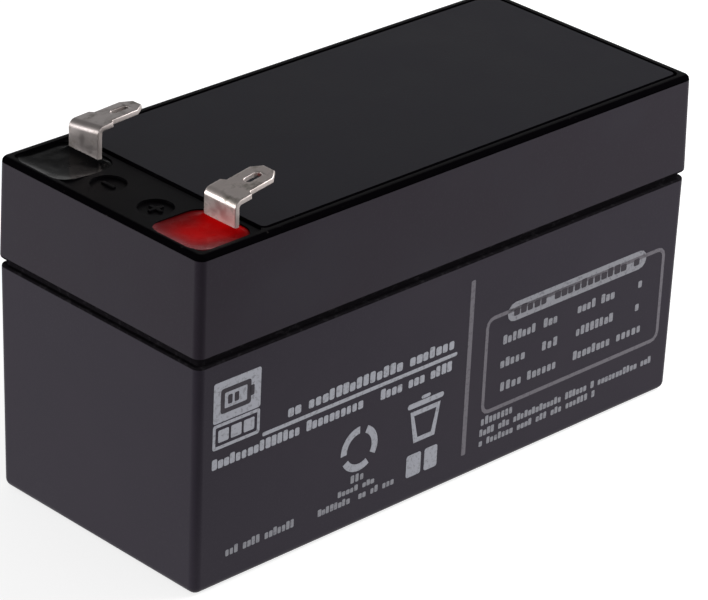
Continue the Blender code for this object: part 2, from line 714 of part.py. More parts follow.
def comb_outline(stations, low_y, high_y):
    """Outline of a strap with a lug hanging at each station, as (y, z) points in order."""
    points = [(low_y, WALL_TOP), (low_y, STRAP_BASE)]
    for station in stations:
        for side, first in ((-1, STRAP_BASE), (1, PLATE_TOP - LUG_ROOT)):
            second = PLATE_TOP - LUG_ROOT if side < 0 else STRAP_BASE
            edge = station + side * LUG_THICKNESS / 2
            points += [(edge, first), (edge, second)]
    return points + [(high_y, STRAP_BASE), (high_y, WALL_TOP)]


def make_group(name, x, y, side, stations, thickness, lead, post_y=None):
    """Plates of one polarity on their cast strap, with the terminal post at an end cell."""
    lug_x = x + side * LUG_OFFSET
    reach = max(stations) + LUG_THICKNESS / 2 + STRAP_LIP
    low_y, high_y = -reach, reach
    low_x, high_x = lug_x - LUG_WIDTH / 2, lug_x + LUG_WIDTH / 2
    if post_y is not None:
        pad = POST_RADIUS + STRAP_LIP
        low_y, high_y = min(low_y, post_y - y - pad), max(high_y, post_y - y + pad)
        low_x, high_x = min(low_x, POST_X - pad), max(high_x, POST_X + pad)

    bm = bmesh.new()
    outline = comb_outline(stations, low_y, high_y)
    face = bm.faces.new([bm.verts.new((low_x, y + across, z)) for across, z in outline])
    pushed = bmesh.ops.extrude_face_region(bm, geom=[face])["geom"]
    moved = [item for item in pushed if isinstance(item, bmesh.types.BMVert)]
    bmesh.ops.translate(bm, vec=(high_x - low_x, 0, 0), verts=moved)
    group = place(name, bm, lead)
    combine(group, make_plates(name + "_plates", x, y, stations, thickness), "UNION")

    if post_y is not None:
        post = bmesh.new()
        add_cylinder(post, POST_X, post_y, WALL_TOP - STRAP_HEIGHT / 2, FOOT_BASE - FIT,
                     POST_RADIUS)
        combine(group, place(name + "_post", post), "UNION")
        tip = bmesh.new()
        add_cylinder(tip, POST_X, post_y, FOOT_BASE - FIT - STRAP_HEIGHT / 2,
                     FOOT_BASE - FIT + TIP_HEIGHT, TIP_RADIUS)
        combine(group, place(name + "_tip", tip), "UNION")
    return group


def make_separator(name, x, y, glass_mat):
    """A glass-mat sheet folded under one positive plate and up both of its faces."""
    half_gap = POSITIVE_THICKNESS / 2 + FIT + SEPARATOR_THICKNESS / 2
    low_z = PLATE_BASE - FIT - SEPARATOR_THICKNESS / 2
    high_z = PLATE_TOP + SEPARATOR_RISE
    half_x = PLATE_WIDTH / 2 + SEPARATOR_OVERHANG
    bend = SEPARATOR_FOLD + SEPARATOR_THICKNESS / 2
    path = [(-half_gap, high_z)]
    for side in (-1, 1):
        for step in range(ARC_STEPS + 1):
            share = step / ARC_STEPS
            turn = math.pi / 2 * (share if side < 0 else 1 - share)
            path.append((side * (half_gap - bend + bend * math.cos(turn)),
                         low_z + bend - bend * math.sin(turn)))
    path.append((half_gap, high_z))

    bm = bmesh.new()
    last = None
    for across, z in path:
        pair = [bm.verts.new((x + end * half_x, y + across, z)) for end in (-1, 1)]
        if last:
            bm.faces.new((last[0], pair[0], pair[1], last[1]))
        last = pair
    sheet = place(name, bm, glass_mat)
    thick = sheet.modifiers.new("thickness", "SOLIDIFY")
    thick.thickness = SEPARATOR_THICKNESS
    thick.offset = 0.0
    thick.use_even_offset = True
    return sheet


def link_ends():
    """Plan positions of the two strap middles that each link joins, in order of the cells."""
    ends = []
    for (_, x, y, side), (_, next_x, next_y, next_side) in zip(CELLS, CELLS[1:]):
        ends.append(((x - side * LUG_OFFSET, y), (next_x + next_side * LUG_OFFSET, next_y)))
    return ends


def make_links(lead):
    """Bars over the partitions that join each cell's negative strap to the next positive."""
    half = LINK_WIDTH / 2
    for number, ((x, y), (next_x, next_y)) in enumerate(link_ends(), start=1):
        bm = bmesh.new()
        low = (min(x, next_x) - half, min(y, next_y) - half, LINK_BASE)
        high = (max(x, next_x) + half, max(y, next_y) + half, LINK_TOP)
        add_block(bm, low, high, half - FIT)
        place(f"link_{number}_{number + 1}", bm, lead)


def make_cells(positive_lead, negative_lead, glass_mat):
    """Plate groups and folded separators of the six cells."""
    for number, x, y, side in CELLS:
        first, last = number == 1, number == len(CELLS)
        make_group(f"positive_group_{number}", x, y, side, POSITIVE_STATIONS,
                   POSITIVE_THICKNESS, positive_lead, -POST_Y if first else None)
        make_group(f"negative_group_{number}", x, y, -side, NEGATIVE_STATIONS,
                   NEGATIVE_THICKNESS, negative_lead, POST_Y if last else None)
        for letter, station in zip("ab", POSITIVE_STATIONS):
            make_separator(f"separator_{number}{letter}", x, y + station, glass_mat)


def build():
    """Model the whole battery."""
    global PARTS, CUTTERS
    clear_scene()
    PARTS = new_collection("sealed_battery")
    CUTTERS = new_collection("cutters")

    plastic = finish("moulded_abs", (0.045, 0.040, 0.048), 0.42)
    cover_plastic = finish("cover_abs", (0.040, 0.037, 0.046), 0.40)
    tinned = finish("tinned_brass", (0.62, 0.58, 0.56), 0.28, 1.0)
    red = finish("red_epoxy", (0.42, 0.010, 0.012), 0.25)
    black = finish("black_epoxy", (0.012, 0.012, 0.013), 0.25)
    rubber = finish("black_rubber", (0.020, 0.020, 0.022), 0.65)
    brown = finish("positive_lead", (0.090, 0.055, 0.040), 0.70, 0.2)
    grey = finish("negative_lead", (0.220, 0.225, 0.235), 0.55, 0.6)
    cast = finish("cast_lead", (0.260, 0.265, 0.280), 0.45, 0.8)
    mat = finish("glass_mat", (0.780, 0.790, 0.780), 0.90)

    make_container(plastic)
    make_lid(plastic)
    make_cover(cover_plastic)
    make_valve_caps(rubber)
    for name, resin, (x, y) in zip(("positive", "negative"), (red, black), post_places()):
        make_terminal(name + "_terminal", x, y, FOLDS[name], tinned)
        make_epoxy(name + "_epoxy", x, y, FOLDS[name], resin)
        make_sealing_ring(name + "_post_ring", x, y, rubber)
    make_cells(brown, grey, mat)
    make_links(cast)


build()
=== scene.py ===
"""Looks of a small sealed lead-acid battery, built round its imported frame.

The frame gives every piece of the battery at its real size. This script dresses those pieces: it
gives the case, the lid and the valve cover their moulded finish, folds the two push-on tabs from
flat strip, pours the red and the black resin round them, and prints the long side.
Lengths are in millimetres, apart from the studio's, which are in metres.
"""

import logging
import math
from dataclasses import dataclass, field
from enum import Enum
from typing import Any

import bpy
import numpy as np
from mathutils import Matrix, Vector


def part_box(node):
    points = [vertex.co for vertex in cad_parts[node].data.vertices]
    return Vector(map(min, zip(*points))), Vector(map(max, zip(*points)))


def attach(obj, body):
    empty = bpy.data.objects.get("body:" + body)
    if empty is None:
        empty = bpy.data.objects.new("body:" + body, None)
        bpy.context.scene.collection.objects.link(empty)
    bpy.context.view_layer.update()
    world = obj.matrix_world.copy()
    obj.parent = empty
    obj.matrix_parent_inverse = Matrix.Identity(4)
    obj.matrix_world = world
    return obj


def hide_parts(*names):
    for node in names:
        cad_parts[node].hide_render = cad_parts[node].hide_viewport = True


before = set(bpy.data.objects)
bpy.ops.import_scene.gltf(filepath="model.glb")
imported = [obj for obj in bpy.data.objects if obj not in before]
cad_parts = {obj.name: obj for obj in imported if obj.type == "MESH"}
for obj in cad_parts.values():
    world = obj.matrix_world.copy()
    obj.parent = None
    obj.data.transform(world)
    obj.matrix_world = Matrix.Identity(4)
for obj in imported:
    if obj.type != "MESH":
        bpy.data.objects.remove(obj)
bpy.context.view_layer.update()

MM = 0.001
BODY = "root"
LOG = logging.getLogger("battery")
SEAM = 0.95                 # height of the open line under the lid
WHITE = "#ffffff"

Array = np.ndarray
Colour = tuple[float, float, float, float]
Material = bpy.types.Material
Piece = bpy.types.Object
Socket = bpy.types.NodeSocket
Tree = bpy.types.NodeTree

# A Mix node's sockets for each kind of value share their names, so they go by number.
SHARE, VALUE_A, VALUE_B, COLOUR_A, COLOUR_B = 0, 2, 3, 6, 7
COLOURS = {"output": 2, "data_type": "RGBA"}
SMOOTH = {"interpolation_type": "SMOOTHSTEP"}


class Polarity(Enum):
    """Which pole a terminal, its resin and its mark belong to."""

    POSITIVE = "positive"
    NEGATIVE = "negative"


class Surface(Enum):
    """How a stretch of moulded plastic left its mould, or where shade is painted at the seam, as
    the number of its material slot.
    """

    GRAINED = 0
    POLISHED = 1
    # painted shade on the faces along the seam
    SEAM_SHADE = 2
    ROUNDED = 3


def linear(hex_code: str) -> Colour:
    """Turn an sRGB hex value into a linear colour.

    Args:
        hex_code: six hex digits with a # before them.

    Returns:
        Red, green, blue and an alpha of 1.
    """
    parts = [int(hex_code[start:start + 2], 16) / 255 for start in (1, 3, 5)]
    straight = [part / 12.92 if part <= 0.04045 else ((part + 0.055) / 1.055) ** 2.4
                for part in parts]
    return (*straight, 1.0)


def feed(node: bpy.types.Node, inputs: Any) -> None:
    """Fill a node's sockets.

    Args:
        node: the node.
        inputs: what goes in, in the sockets' order, or by their names or numbers. A socket is
            linked, and anything else is set as the value.
    """
    for key, value in inputs.items() if isinstance(inputs, dict) else enumerate(inputs):
        if isinstance(value, Socket):
            node.id_data.links.new(value, node.inputs[key])
        else:
            node.inputs[key].default_value = value


def add_node(tree: Tree, kind: str, inputs: Any = (), output: str | int = 0,
             **settings: Any) -> Socket:
    """Add one shader node with its settings and links.

    Args:
        tree: the tree of a material or of the world.
        kind: the node's type, without the ShaderNode in front.
        inputs: what goes into its sockets, as feed takes it.
        output: name or number of the output that is wanted.
        settings: the node's own settings.

    Returns:
        That output.
    """
    node = tree.nodes.new("ShaderNode" + kind)
    for key, value in settings.items():
        setattr(node, key, value)
    feed(node, inputs)
    return node.outputs[output]


@dataclass(frozen=True)
class Layer:
    """Clouds that lie in a finish: what they tint, how they dull it and how they raise it."""

    pitch: float = 0.0          # distance between two clouds, or 0 where the layer is even
    detail: float = 2.0         # how many finer layers lie on them
    fine: float = 0.5           # how strong those are
    stretch: tuple = (1, 1, 1)  # how much denser the clouds are along each axis
    tint: str = ""              # the clouds' own colour
    edge: tuple = (0.5, 0.7)    # noise at which a cloud begins, and at which it is whole
    cover: tuple = (0.0, 1.0)   # share of what lies under it that it hides, between and inside
    mask: str = ""              # attribute of the mesh that thins the tint
    dull: tuple = ()            # noise from and to which it gets rougher, and by how much
    depth: float = 0.0          # of the relief


@dataclass(frozen=True, kw_only=True)
class Finish:
    """A surface: its base, the layers over it and what stays the same all over.

    Each finish below is named for the real material and for the way that it was made, but for the
    painted seam shade.
    """

    name: str
    base: str
    roughness: float = 0.5      # where no layer dulls it
    specular: float = 0.5
    ior: float = 1.5
    metallic: float = 0.0

    def layers(self) -> tuple[Layer, ...]:
        """The layers from the lowest up, of which one may dull the finish."""
        return ()

    def constants(self) -> dict[str, Any]:
        """The shader's sockets that stay the same all over."""
        return {"IOR": self.ior, "Specular IOR Level": self.specular, "Metallic": self.metallic}

    def coats(self, tree: Tree, place: Socket) -> dict[str, Any]:
        """Lay each layer over what lies under it.

        A cloud's share goes smoothly from the least to the most cover while the noise goes from
        one edge to the other. The relief is the sum of noise times depth.

        Args:
            tree: the material's tree.
            place: where the surface is, in metres.

        Returns:
            What goes into the shader's sockets, by their names.
        """
        colour, roughness, relief = linear(self.base), self.roughness, None
        for layer in self.layers():
            if layer.pitch:
                spot = add_node(tree, "Mapping", {"Vector": place, "Scale": layer.stretch})
                noise = add_node(tree, "TexNoise", {
                    "Vector": spot, "Scale": 1 / (layer.pitch * MM), "Detail": layer.detail,
                    "Roughness": layer.fine})
            if layer.tint:
                share = layer.cover[1]
                if layer.pitch:
                    share = add_node(tree, "MapRange", (noise, *layer.edge, *layer.cover),
                                     **SMOOTH)
                if layer.mask:
                    mask = add_node(tree, "Attribute", (), "Fac", attribute_name=layer.mask)
                    share = add_node(tree, "Math", (mask, share), operation="MULTIPLY")
                colour = add_node(tree, "Mix", {SHARE: share, COLOUR_A: colour,
                                                COLOUR_B: linear(layer.tint)}, **COLOURS)
            if layer.dull:
                low, high, more = layer.dull
                roughness = add_node(tree, "MapRange", (noise, low, high, self.roughness,
                                                        self.roughness + more), **SMOOTH)
            if layer.depth:
                relief = add_node(tree, "Math", (noise, layer.depth, relief or 0.0),
                                  operation="MULTIPLY_ADD")
        coats = {"Base Color": colour, "Roughness": roughness}
        if relief:
            coats["Normal"] = add_node(tree, "Bump", {"Height": relief, "Distance": MM,
                                                      "Strength": 1.0})
        return coats

    def build(self) -> Material:
        """Make the material, whose patterns lie in Object coordinates.

        Returns:
            The material.
        """
        material = bpy.data.materials.new(self.name)
        material.use_nodes = True
        tree = material.node_tree
        place = add_node(tree, "TexCoord", (), "Object")
        feed(tree.nodes["Principled BSDF"], self.constants() | self.coats(tree, place))
        return material


@dataclass(frozen=True, kw_only=True)
class GrainedAbs(Finish):
    """ABS moulded against a spark-eroded wall: a fine matt grain that greys the black.

    The real grain is about 0.15 mm, too fine to show, so it is drawn more than twice as coarse.
    """

    name: str = "grained_abs"
    base: str = "#302b35"
    worn: str = "#37323b"
    roughness: float = 0.45
    specular: float = 0.12
    ior: float = 1.53

    def layers(self) -> tuple[Layer, ...]:
        """Lay slow waves, where the plastic shrank over its ribs, and the grain.

        Returns:
            The two layers.
        """
        return (Layer(17.0, 3.0, tint=self.worn, edge=(0.35, 0.75), dull=(0.3, 0.7, 0.11),
                      depth=0.03),
                Layer(0.36, 3.0, 0.6, tint=self.worn, edge=(0.52, 0.70), cover=(0.0, 0.55),
                      depth=0.010))


@dataclass(frozen=True, kw_only=True)
class PolishedAbs(Finish):
    """ABS moulded against a polished wall: rims, radii and the deck, which stay black."""

    name: str = "polished_abs"
    base: str = "#070608"
    scuffed: str = "#141316"
    scuff_level: float = 0.60   # the noise above which it is scuffed
    scuff_blur: float = 0.12    # and by how much further it is wholly so
    scuff_dull: float = 0.25    # how much rougher it is there
    roughness: float = 0.36
    specular: float = 0.02
    ior: float = 1.53

    def layers(self) -> tuple[Layer, ...]:
        """Lay sparse scuffs, which grey it where it was rubbed, and the plastic's flow.

        Returns:
            The two layers.
        """
        edge = (self.scuff_level, self.scuff_level + self.scuff_blur)
        return (Layer(1.1, 4.0, 0.7, tint=self.scuffed, edge=edge, dull=(*edge, self.scuff_dull)),
                Layer(6.0, depth=0.03))


@dataclass(frozen=True, kw_only=True)
class SeamShade(Finish):
    """Painted shade along the line between lid and case: dark and dull, with small lumps."""

    name: str = "painted_seam_shade"
    base: str = "#19171a"
    dusty: str = "#272528"
    roughness: float = 0.85
    specular: float = 0.0

    def layers(self) -> tuple[Layer, ...]:
        """Lumps with dust on them."""
        return (Layer(0.9, 4.0, tint=self.dusty, edge=(0.52, 0.7), depth=0.04),)


@dataclass(frozen=True, kw_only=True)
class TinnedBrass(Finish):
    """Brass strip, tin plated and stamped: a soft grey sheen with rolling lines and stains.

    The rolling lines run along the strip, so they change across Y. They are drawn about four
    times as coarse as real ones, to show.
    """

    name: str = "tinned_brass_strip"
    base: str = "#ddd2ce"
    stain: str = "#8f8981"
    sheared: str = "#e0d6d2"
    sheared_dull: float = 0.18      # how much rougher a sheared edge is
    side_lean: tuple = (0.5, 0.8)   # the normal's Y from and to which a face is a sheared edge
    roughness: float = 0.32
    metallic: float = 1.0

    def layers(self) -> tuple[Layer, ...]:
        """Lay rolling lines, and stains of handling.

        Returns:
            The two layers.
        """
        return (Layer(0.22, 3.0, stretch=(0.04, 1.0, 0.04), depth=0.004),
                Layer(2.6, 4.0, 0.6, tint=self.stain, edge=(0.48, 0.72), dull=(0.35, 0.75, 0.20),
                      depth=0.006))

    def coats(self, tree: Tree, place: Socket) -> dict[str, Any]:
        """Lay the layers, and over them the sheared edges, which are paler and rougher.

        Args:
            tree: the material's tree.
            place: where the surface is.

        Returns:
            What goes into the shader's sockets, by their names.
        """
        coats = super().coats(tree, place)
        normal = add_node(tree, "NewGeometry", (), "True Normal")
        aside = add_node(tree, "Math", (add_node(tree, "SeparateXYZ", (normal,), "Y"),),
                         operation="ABSOLUTE")
        cut = add_node(tree, "MapRange", (aside, *self.side_lean, 0.0, 1.0), **SMOOTH)
        coats["Base Color"] = add_node(tree, "Mix", {
            SHARE: cut, COLOUR_A: coats["Base Color"], COLOUR_B: linear(self.sheared)}, **COLOURS)
        coats["Roughness"] = add_node(tree, "Math", (cut, self.sheared_dull, coats["Roughness"]),
                                      operation="MULTIPLY_ADD")
        return coats


@dataclass(frozen=True, kw_only=True)
class CastResin(Finish):
    """Epoxy poured into a well: coloured, glossy and a little translucent.

    Its base is what it looks like over the black wall, where no painted glow lies.
    """

    lit: str                    # painted glow, where the metal behind it would throw light back
    pale: str                   # painted sheen, the lip's reflection near the wall
    subsurface: float
    scatter: tuple = (1.0, 0.15, 0.1)   # how far red, green and blue light spread in it,
    scatter_length: float = 1.2         # as shares of this length
    ior: float = 1.54

    def layers(self) -> tuple[Layer, ...]:
        """Lay a painted glow off the metal, clouds of painted sheen, and the skin that drew
        together as it set.

        Returns:
            The three layers.
        """
        return (Layer(tint=self.lit, mask="painted_glow"),
                Layer(2.4, 4.0, 0.62, tint=self.pale, edge=(0.35, 0.65), cover=(0.5, 1.0),
                      mask="painted_sheen"),
                Layer(1.9, dull=(0.3, 0.7, 0.12), depth=0.04))

    def constants(self) -> dict[str, Any]:
        """Add how far light spreads in the resin to what stays the same all over.

        Returns:
            The shader's sockets by their names.
        """
        return super().constants() | {"Subsurface Weight": self.subsurface,
                                      "Subsurface Radius": self.scatter,
                                      "Subsurface Scale": self.scatter_length * MM}


@dataclass(frozen=True, kw_only=True)
class ScreenInk(Finish):
    """Screen-printed ink: a thin matt film, thinner where the plastic's grain comes through."""

    name: str = "screen_ink"
    base: str = "#b3b4bd"
    thin: str = "#929299"
    roughness: float = 0.62
    specular: float = 0.3

    def layers(self) -> tuple[Layer, ...]:
        """The thin places."""
        return (Layer(0.55, 3.0, 0.7, tint=self.thin, edge=(0.50, 0.68)),)


@dataclass(frozen=True, kw_only=True)
class MouldedRubber(Finish):
    """Moulded black rubber: dull, with a dusting of talc."""

    name: str = "moulded_rubber"
    base: str = "#17171a"
    talc: str = "#4a4a4c"
    roughness: float = 0.72
    specular: float = 0.35

    def layers(self) -> tuple[Layer, ...]:
        """Talc, and the rubber's fine texture."""
        return (Layer(1.4, 5.0, 0.7, tint=self.talc, edge=(0.56, 0.78)),
                Layer(0.3, 3.0, depth=0.01))


@dataclass(frozen=True, kw_only=True)
class PastedLead(Finish):
    """Plates of lead alloy grid and rough paste, on a strap of cast lead."""

    fleck: str
    strap_level: float          # above which it is cast lead
    blur: float = 0.2           # half of the height in which one turns into the other
    lead: str = "#8b8d93"
    lead_roughness: float = 0.45
    lead_metallic: float = 0.9
    roughness: float = 0.85

    def layers(self) -> tuple[Layer, ...]:
        """The paste's crumbs."""
        return (Layer(0.5, 5.0, 0.7, tint=self.fleck, edge=(0.45, 0.65), depth=0.05),)

    def coats(self, tree: Tree, place: Socket) -> dict[str, Any]:
        """Lay the paste's layer, and cast lead above the strap's level.

        Args:
            tree: the material's tree.
            place: where the surface is.

        Returns:
            What goes into the shader's sockets, by their names.
        """
        coats = super().coats(tree, place)
        height = add_node(tree, "SeparateXYZ", (place,), "Z")
        cast = add_node(tree, "MapRange", (height, (self.strap_level - self.blur) * MM,
                                           (self.strap_level + self.blur) * MM, 0.0, 1.0), **SMOOTH)
        coats["Base Color"] = add_node(tree, "Mix", {
            SHARE: cast, COLOUR_A: coats["Base Color"], COLOUR_B: linear(self.lead)}, **COLOURS)
        coats["Metallic"] = add_node(tree, "Math", (cast, self.lead_metallic),
                                     operation="MULTIPLY")
        coats["Roughness"] = add_node(tree, "MapRange", (cast, 0.0, 1.0, self.roughness,
                                                         self.lead_roughness), **SMOOTH)
        return coats


@dataclass(frozen=True, kw_only=True)
class CastLead(Finish):
    """Cast lead: dull blue-grey metal with a frosted skin."""

    name: str = "cast_lead"
    base: str = "#8b8d93"
    frost: str = "#5f6167"
    roughness: float = 0.38
    metallic: float = 1.0

    def layers(self) -> tuple[Layer, ...]:
        """The frosted skin."""
        return (Layer(0.9, 5.0, 0.65, tint=self.frost, edge=(0.4, 0.65), dull=(0.35, 0.7, 0.22),
                      depth=0.03),)


@dataclass(frozen=True, kw_only=True)
class GlassMat(Finish):
    """Absorbent mat of glass fibre: white felt with a fine tangled nap."""

    name: str = "glass_fibre_mat"
    base: str = "#dfe0dc"
    shade: str = "#b9bbb8"
    roughness: float = 0.95
    specular: float = 0.2

    def layers(self) -> tuple[Layer, ...]:
        """The nap."""
        return (Layer(0.35, 6.0, 0.7, (1.0, 1.0, 0.3), tint=self.shade, edge=(0.4, 0.65),
                      depth=0.06),)


def grid_faces(rows: int, columns: int, wrap: bool) -> Array:
    """Quads between the points of a grid that is numbered row by row.

    Args:
        rows: number of rows.
        columns: number of points in a row.
        wrap: join the last column to the first.

    Returns:
        The four point numbers of each quad.
    """
    row, column = np.meshgrid(np.arange(rows - 1), np.arange(columns if wrap else columns - 1),
                              indexing="ij")
    after = (column + 1) % columns
    corners = (row * columns + column, row * columns + after,
               (row + 1) * columns + after, (row + 1) * columns + column)
    return np.stack(corners, axis=-1).reshape(-1, 4)


def prism_faces(count: int, number: int = 1) -> list[list[int]]:
    """Faces of closed prisms, each of which has its back ring's points and then its front's.

    Args:
        count: points in a ring.
        number: how many prisms follow each other.

    Returns:
        Point numbers of the sides, then of the backs and then of the fronts.
    """
    first = 2 * count * np.arange(number)[:, None]
    sides = (grid_faces(2, count, True)[None] + first[..., None]).reshape(-1, 4)
    ring = np.arange(count)
    return sides.tolist() + (ring[::-1] + first).tolist() + (ring + count + first).tolist()


def rounded_rectangles(centres: Array, halves: Array, radii: Array, steps: int) -> Array:
    """Outlines of rectangles with round corners, anticlockwise.

    Each point is the corner's centre plus the radius times (cos, sin) of the angle, which
    passes through a quarter turn at each corner.

    Args:
        centres: middle of each rectangle, n by 2.
        halves: half width and half height of each, n by 2.
        radii: corner radius of each, n.
        steps: number of chords in a corner.

    Returns:
        Points, n by 4 * (steps + 1) by 2.
    """
    quarter, step = np.meshgrid(np.arange(4), np.arange(steps + 1), indexing="ij")
    turn = ((quarter + step / steps) * math.pi / 2).ravel()
    middle = ((quarter + 0.5) * math.pi / 2).ravel()
    sign = np.sign(np.stack([np.cos(middle), np.sin(middle)], axis=-1))
    round_part = np.stack([np.cos(turn), np.sin(turn)], axis=-1)
    radii = np.asarray(radii, float)[:, None, None]
    return centres[:, None] + sign * (halves[:, None] - radii) + radii * round_part


def add_object(name: str, data: bpy.types.ID) -> Piece:
    """Put a mesh, a lamp or a camera into the scene.

    Args:
        name: the object's name.
        data: the mesh, the lamp or the camera.

    Returns:
        The object.
    """
    obj = bpy.data.objects.new(name, data)
    bpy.context.scene.collection.objects.link(obj)
    return obj


def make_object(name: str, points: Array, faces: list, *materials: Material) -> Piece:
    """Make an object whose place is in its mesh.

    Args:
        name: the piece's name.
        points: corners in millimetres, n by 3.
        faces: point numbers of each face.
        materials: the piece's materials, in the order of its slots.

    Returns:
        The object.
    """
    mesh = bpy.data.meshes.new(name)
    mesh.from_pydata((np.asarray(points) * MM).tolist(), [], faces)
    mesh.validate()
    for material in materials:
        mesh.materials.append(material)
    return add_object(name, mesh)


def apply_modifiers(obj: Piece) -> None:
    """Bake an object's modifiers into its mesh.

    Args:
        obj: the object.
    """
    graph = bpy.context.evaluated_depsgraph_get()
    baked = bpy.data.meshes.new_from_object(obj.evaluated_get(graph), depsgraph=graph,
                                            preserve_all_data_layers=True)
    obj.modifiers.clear()
    obj.data = baked


def round_edges(obj: Piece, radius: float, steps: int, angle: float = 35.0) -> None:
    """Round an object's sharp edges, keep its flats flat and bake its modifiers.

    Args:
        obj: the object.
        radius: width of the rounding.
        steps: number of chords across it.
        angle: edges that turn more than this many degrees are rounded.
    """
    bevel = obj.modifiers.new("round_edges", "BEVEL")
    bevel.width = radius * MM
    bevel.segments = steps
    bevel.limit_method = "ANGLE"
    bevel.angle_limit = math.radians(angle)
    bevel.use_clamp_overlap = True
    weighted = obj.modifiers.new("flat_shading", "WEIGHTED_NORMAL")
    weighted.keep_sharp = True
    apply_modifiers(obj)


def add_piece(obj: Piece, slot: str | None, *nodes: str) -> None:
    """Hand a finished piece to the frame.

    Args:
        obj: the piece.
        slot: not used.
        nodes: the frame's nodes that it stands for.
    """
    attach(obj, BODY)
    if nodes:
        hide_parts(*nodes)
    LOG.info("piece %s: %d faces", obj.name, len(obj.data.polygons))


def box_mm(node: str) -> tuple[Array, Array]:
    """Lowest and highest corner of a node, in millimetres."""
    low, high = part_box(node)
    return np.array(low) / MM, np.array(high) / MM


@dataclass
class MouldedBox:
    """The container, the lid and the valve cover, with their grained and polished faces."""

    case_grain: Material
    lid_grain: Material
    cover_grain: Material
    polish: Material
    seam_shade: Material
    rounding: Material
    edge_radius: float = 0.12
    edge_steps: int = 2
    edge_height: float = 0.6    # reach of the case's rounded edge below the seam
    tongue_height: float = 3.5  # of the inner wall that stands in it
    foot_height: float = 2.0    # up to which the case's lower edge is grained too
    skin: float = 0.9           # outer walls lie no further in than this
    wall_lean: float = 0.1      # sine of the tilt up to which a face counts as a wall
    flat_lean: float = 0.985    # and from which it counts as flat
    top_lean: float = 0.05      # tilt up to which a face counts as the cover's top
    merge_distance: float = 0.002
    flat_degrees: float = 0.3   # faces that turn less than this are one

    def merged(self, node: str, name: str, grain: Material) -> Piece:
        """Copy a node, join its loose triangles into whole faces and round its edges.

        Args:
            node: the node.
            name: the new piece's name.
            grain: material of its grained faces.

        Returns:
            The copy, whose material slots are numbered as in Surface.
        """
        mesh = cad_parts[node].data.copy()
        mesh.name = name
        mesh.materials.clear()
        for material in (grain, self.polish, self.seam_shade, self.rounding):
            mesh.materials.append(material)
        shell = add_object(name, mesh)
        weld = shell.modifiers.new("weld", "WELD")
        weld.merge_threshold = self.merge_distance * MM
        flatten = shell.modifiers.new("whole_faces", "DECIMATE")
        flatten.decimate_type = "DISSOLVE"
        flatten.angle_limit = math.radians(self.flat_degrees)
        apply_modifiers(shell)
        shell.data.shade_smooth()
        round_edges(shell, self.edge_radius, self.edge_steps)
        return shell

    def part_faces(self, mesh: bpy.types.Mesh, upright: bool) -> None:
        """Grain the outer walls, or else the top, paint shade on the faces near the seam, and
        polish or round the rest.

        The case's tongue rises past the seam into the lid, and counts as the seam.

        Args:
            mesh: the mesh.
            upright: its walls are grained, not its top.
        """
        normals, middles = np.zeros((2, len(mesh.polygons) * 3))
        mesh.polygons.foreach_get("normal", normals)
        mesh.polygons.foreach_get("center", middles)
        up = normals[2::3]
        x, y, level = middles.reshape(-1, 3).T / MM
        (_, _, seam_top), (half_x, half_y, _) = box_mm("lid")
        seam_low = seam_top - SEAM
        outside = (np.abs(x) > half_x - self.skin) | (np.abs(y) > half_y - self.skin)
        beside = (level < seam_low) | (level.min() > seam_low)
        walls = outside & beside & (np.abs(up) < self.wall_lean)
        leaning = (np.abs(up) > self.wall_lean) & (np.abs(up) < self.flat_lean)
        foot = leaning & (level < self.foot_height)
        grained = walls | foot if upright else up > 1 - self.top_lean ** 2 / 2
        # faces near the seam on the case and the lid take the painted seam shade
        near_seam = (level > seam_low - self.edge_height) & (level < seam_top + self.tongue_height)
        numbers = np.select([grained, near_seam & upright, leaning],
                            [Surface.GRAINED.value, Surface.SEAM_SHADE.value, Surface.ROUNDED.value],
                            Surface.POLISHED.value)
        mesh.polygons.foreach_set("material_index", numbers.astype(np.int32))
        mesh.update()

    def build(self) -> None:
        """Make the three shells."""
        plan = (("container", "case_shell", self.case_grain, True, "case_abs"),
                ("lid", "lid_shell", self.lid_grain, True, "case_abs"),
                ("valve_cover", "cover_plate", self.cover_grain, False, "cover_abs"))
        for node, name, grain, upright, slot in plan:
            shell = self.merged(node, name, grain)
            self.part_faces(shell.data, upright)
            add_piece(shell, slot, node)


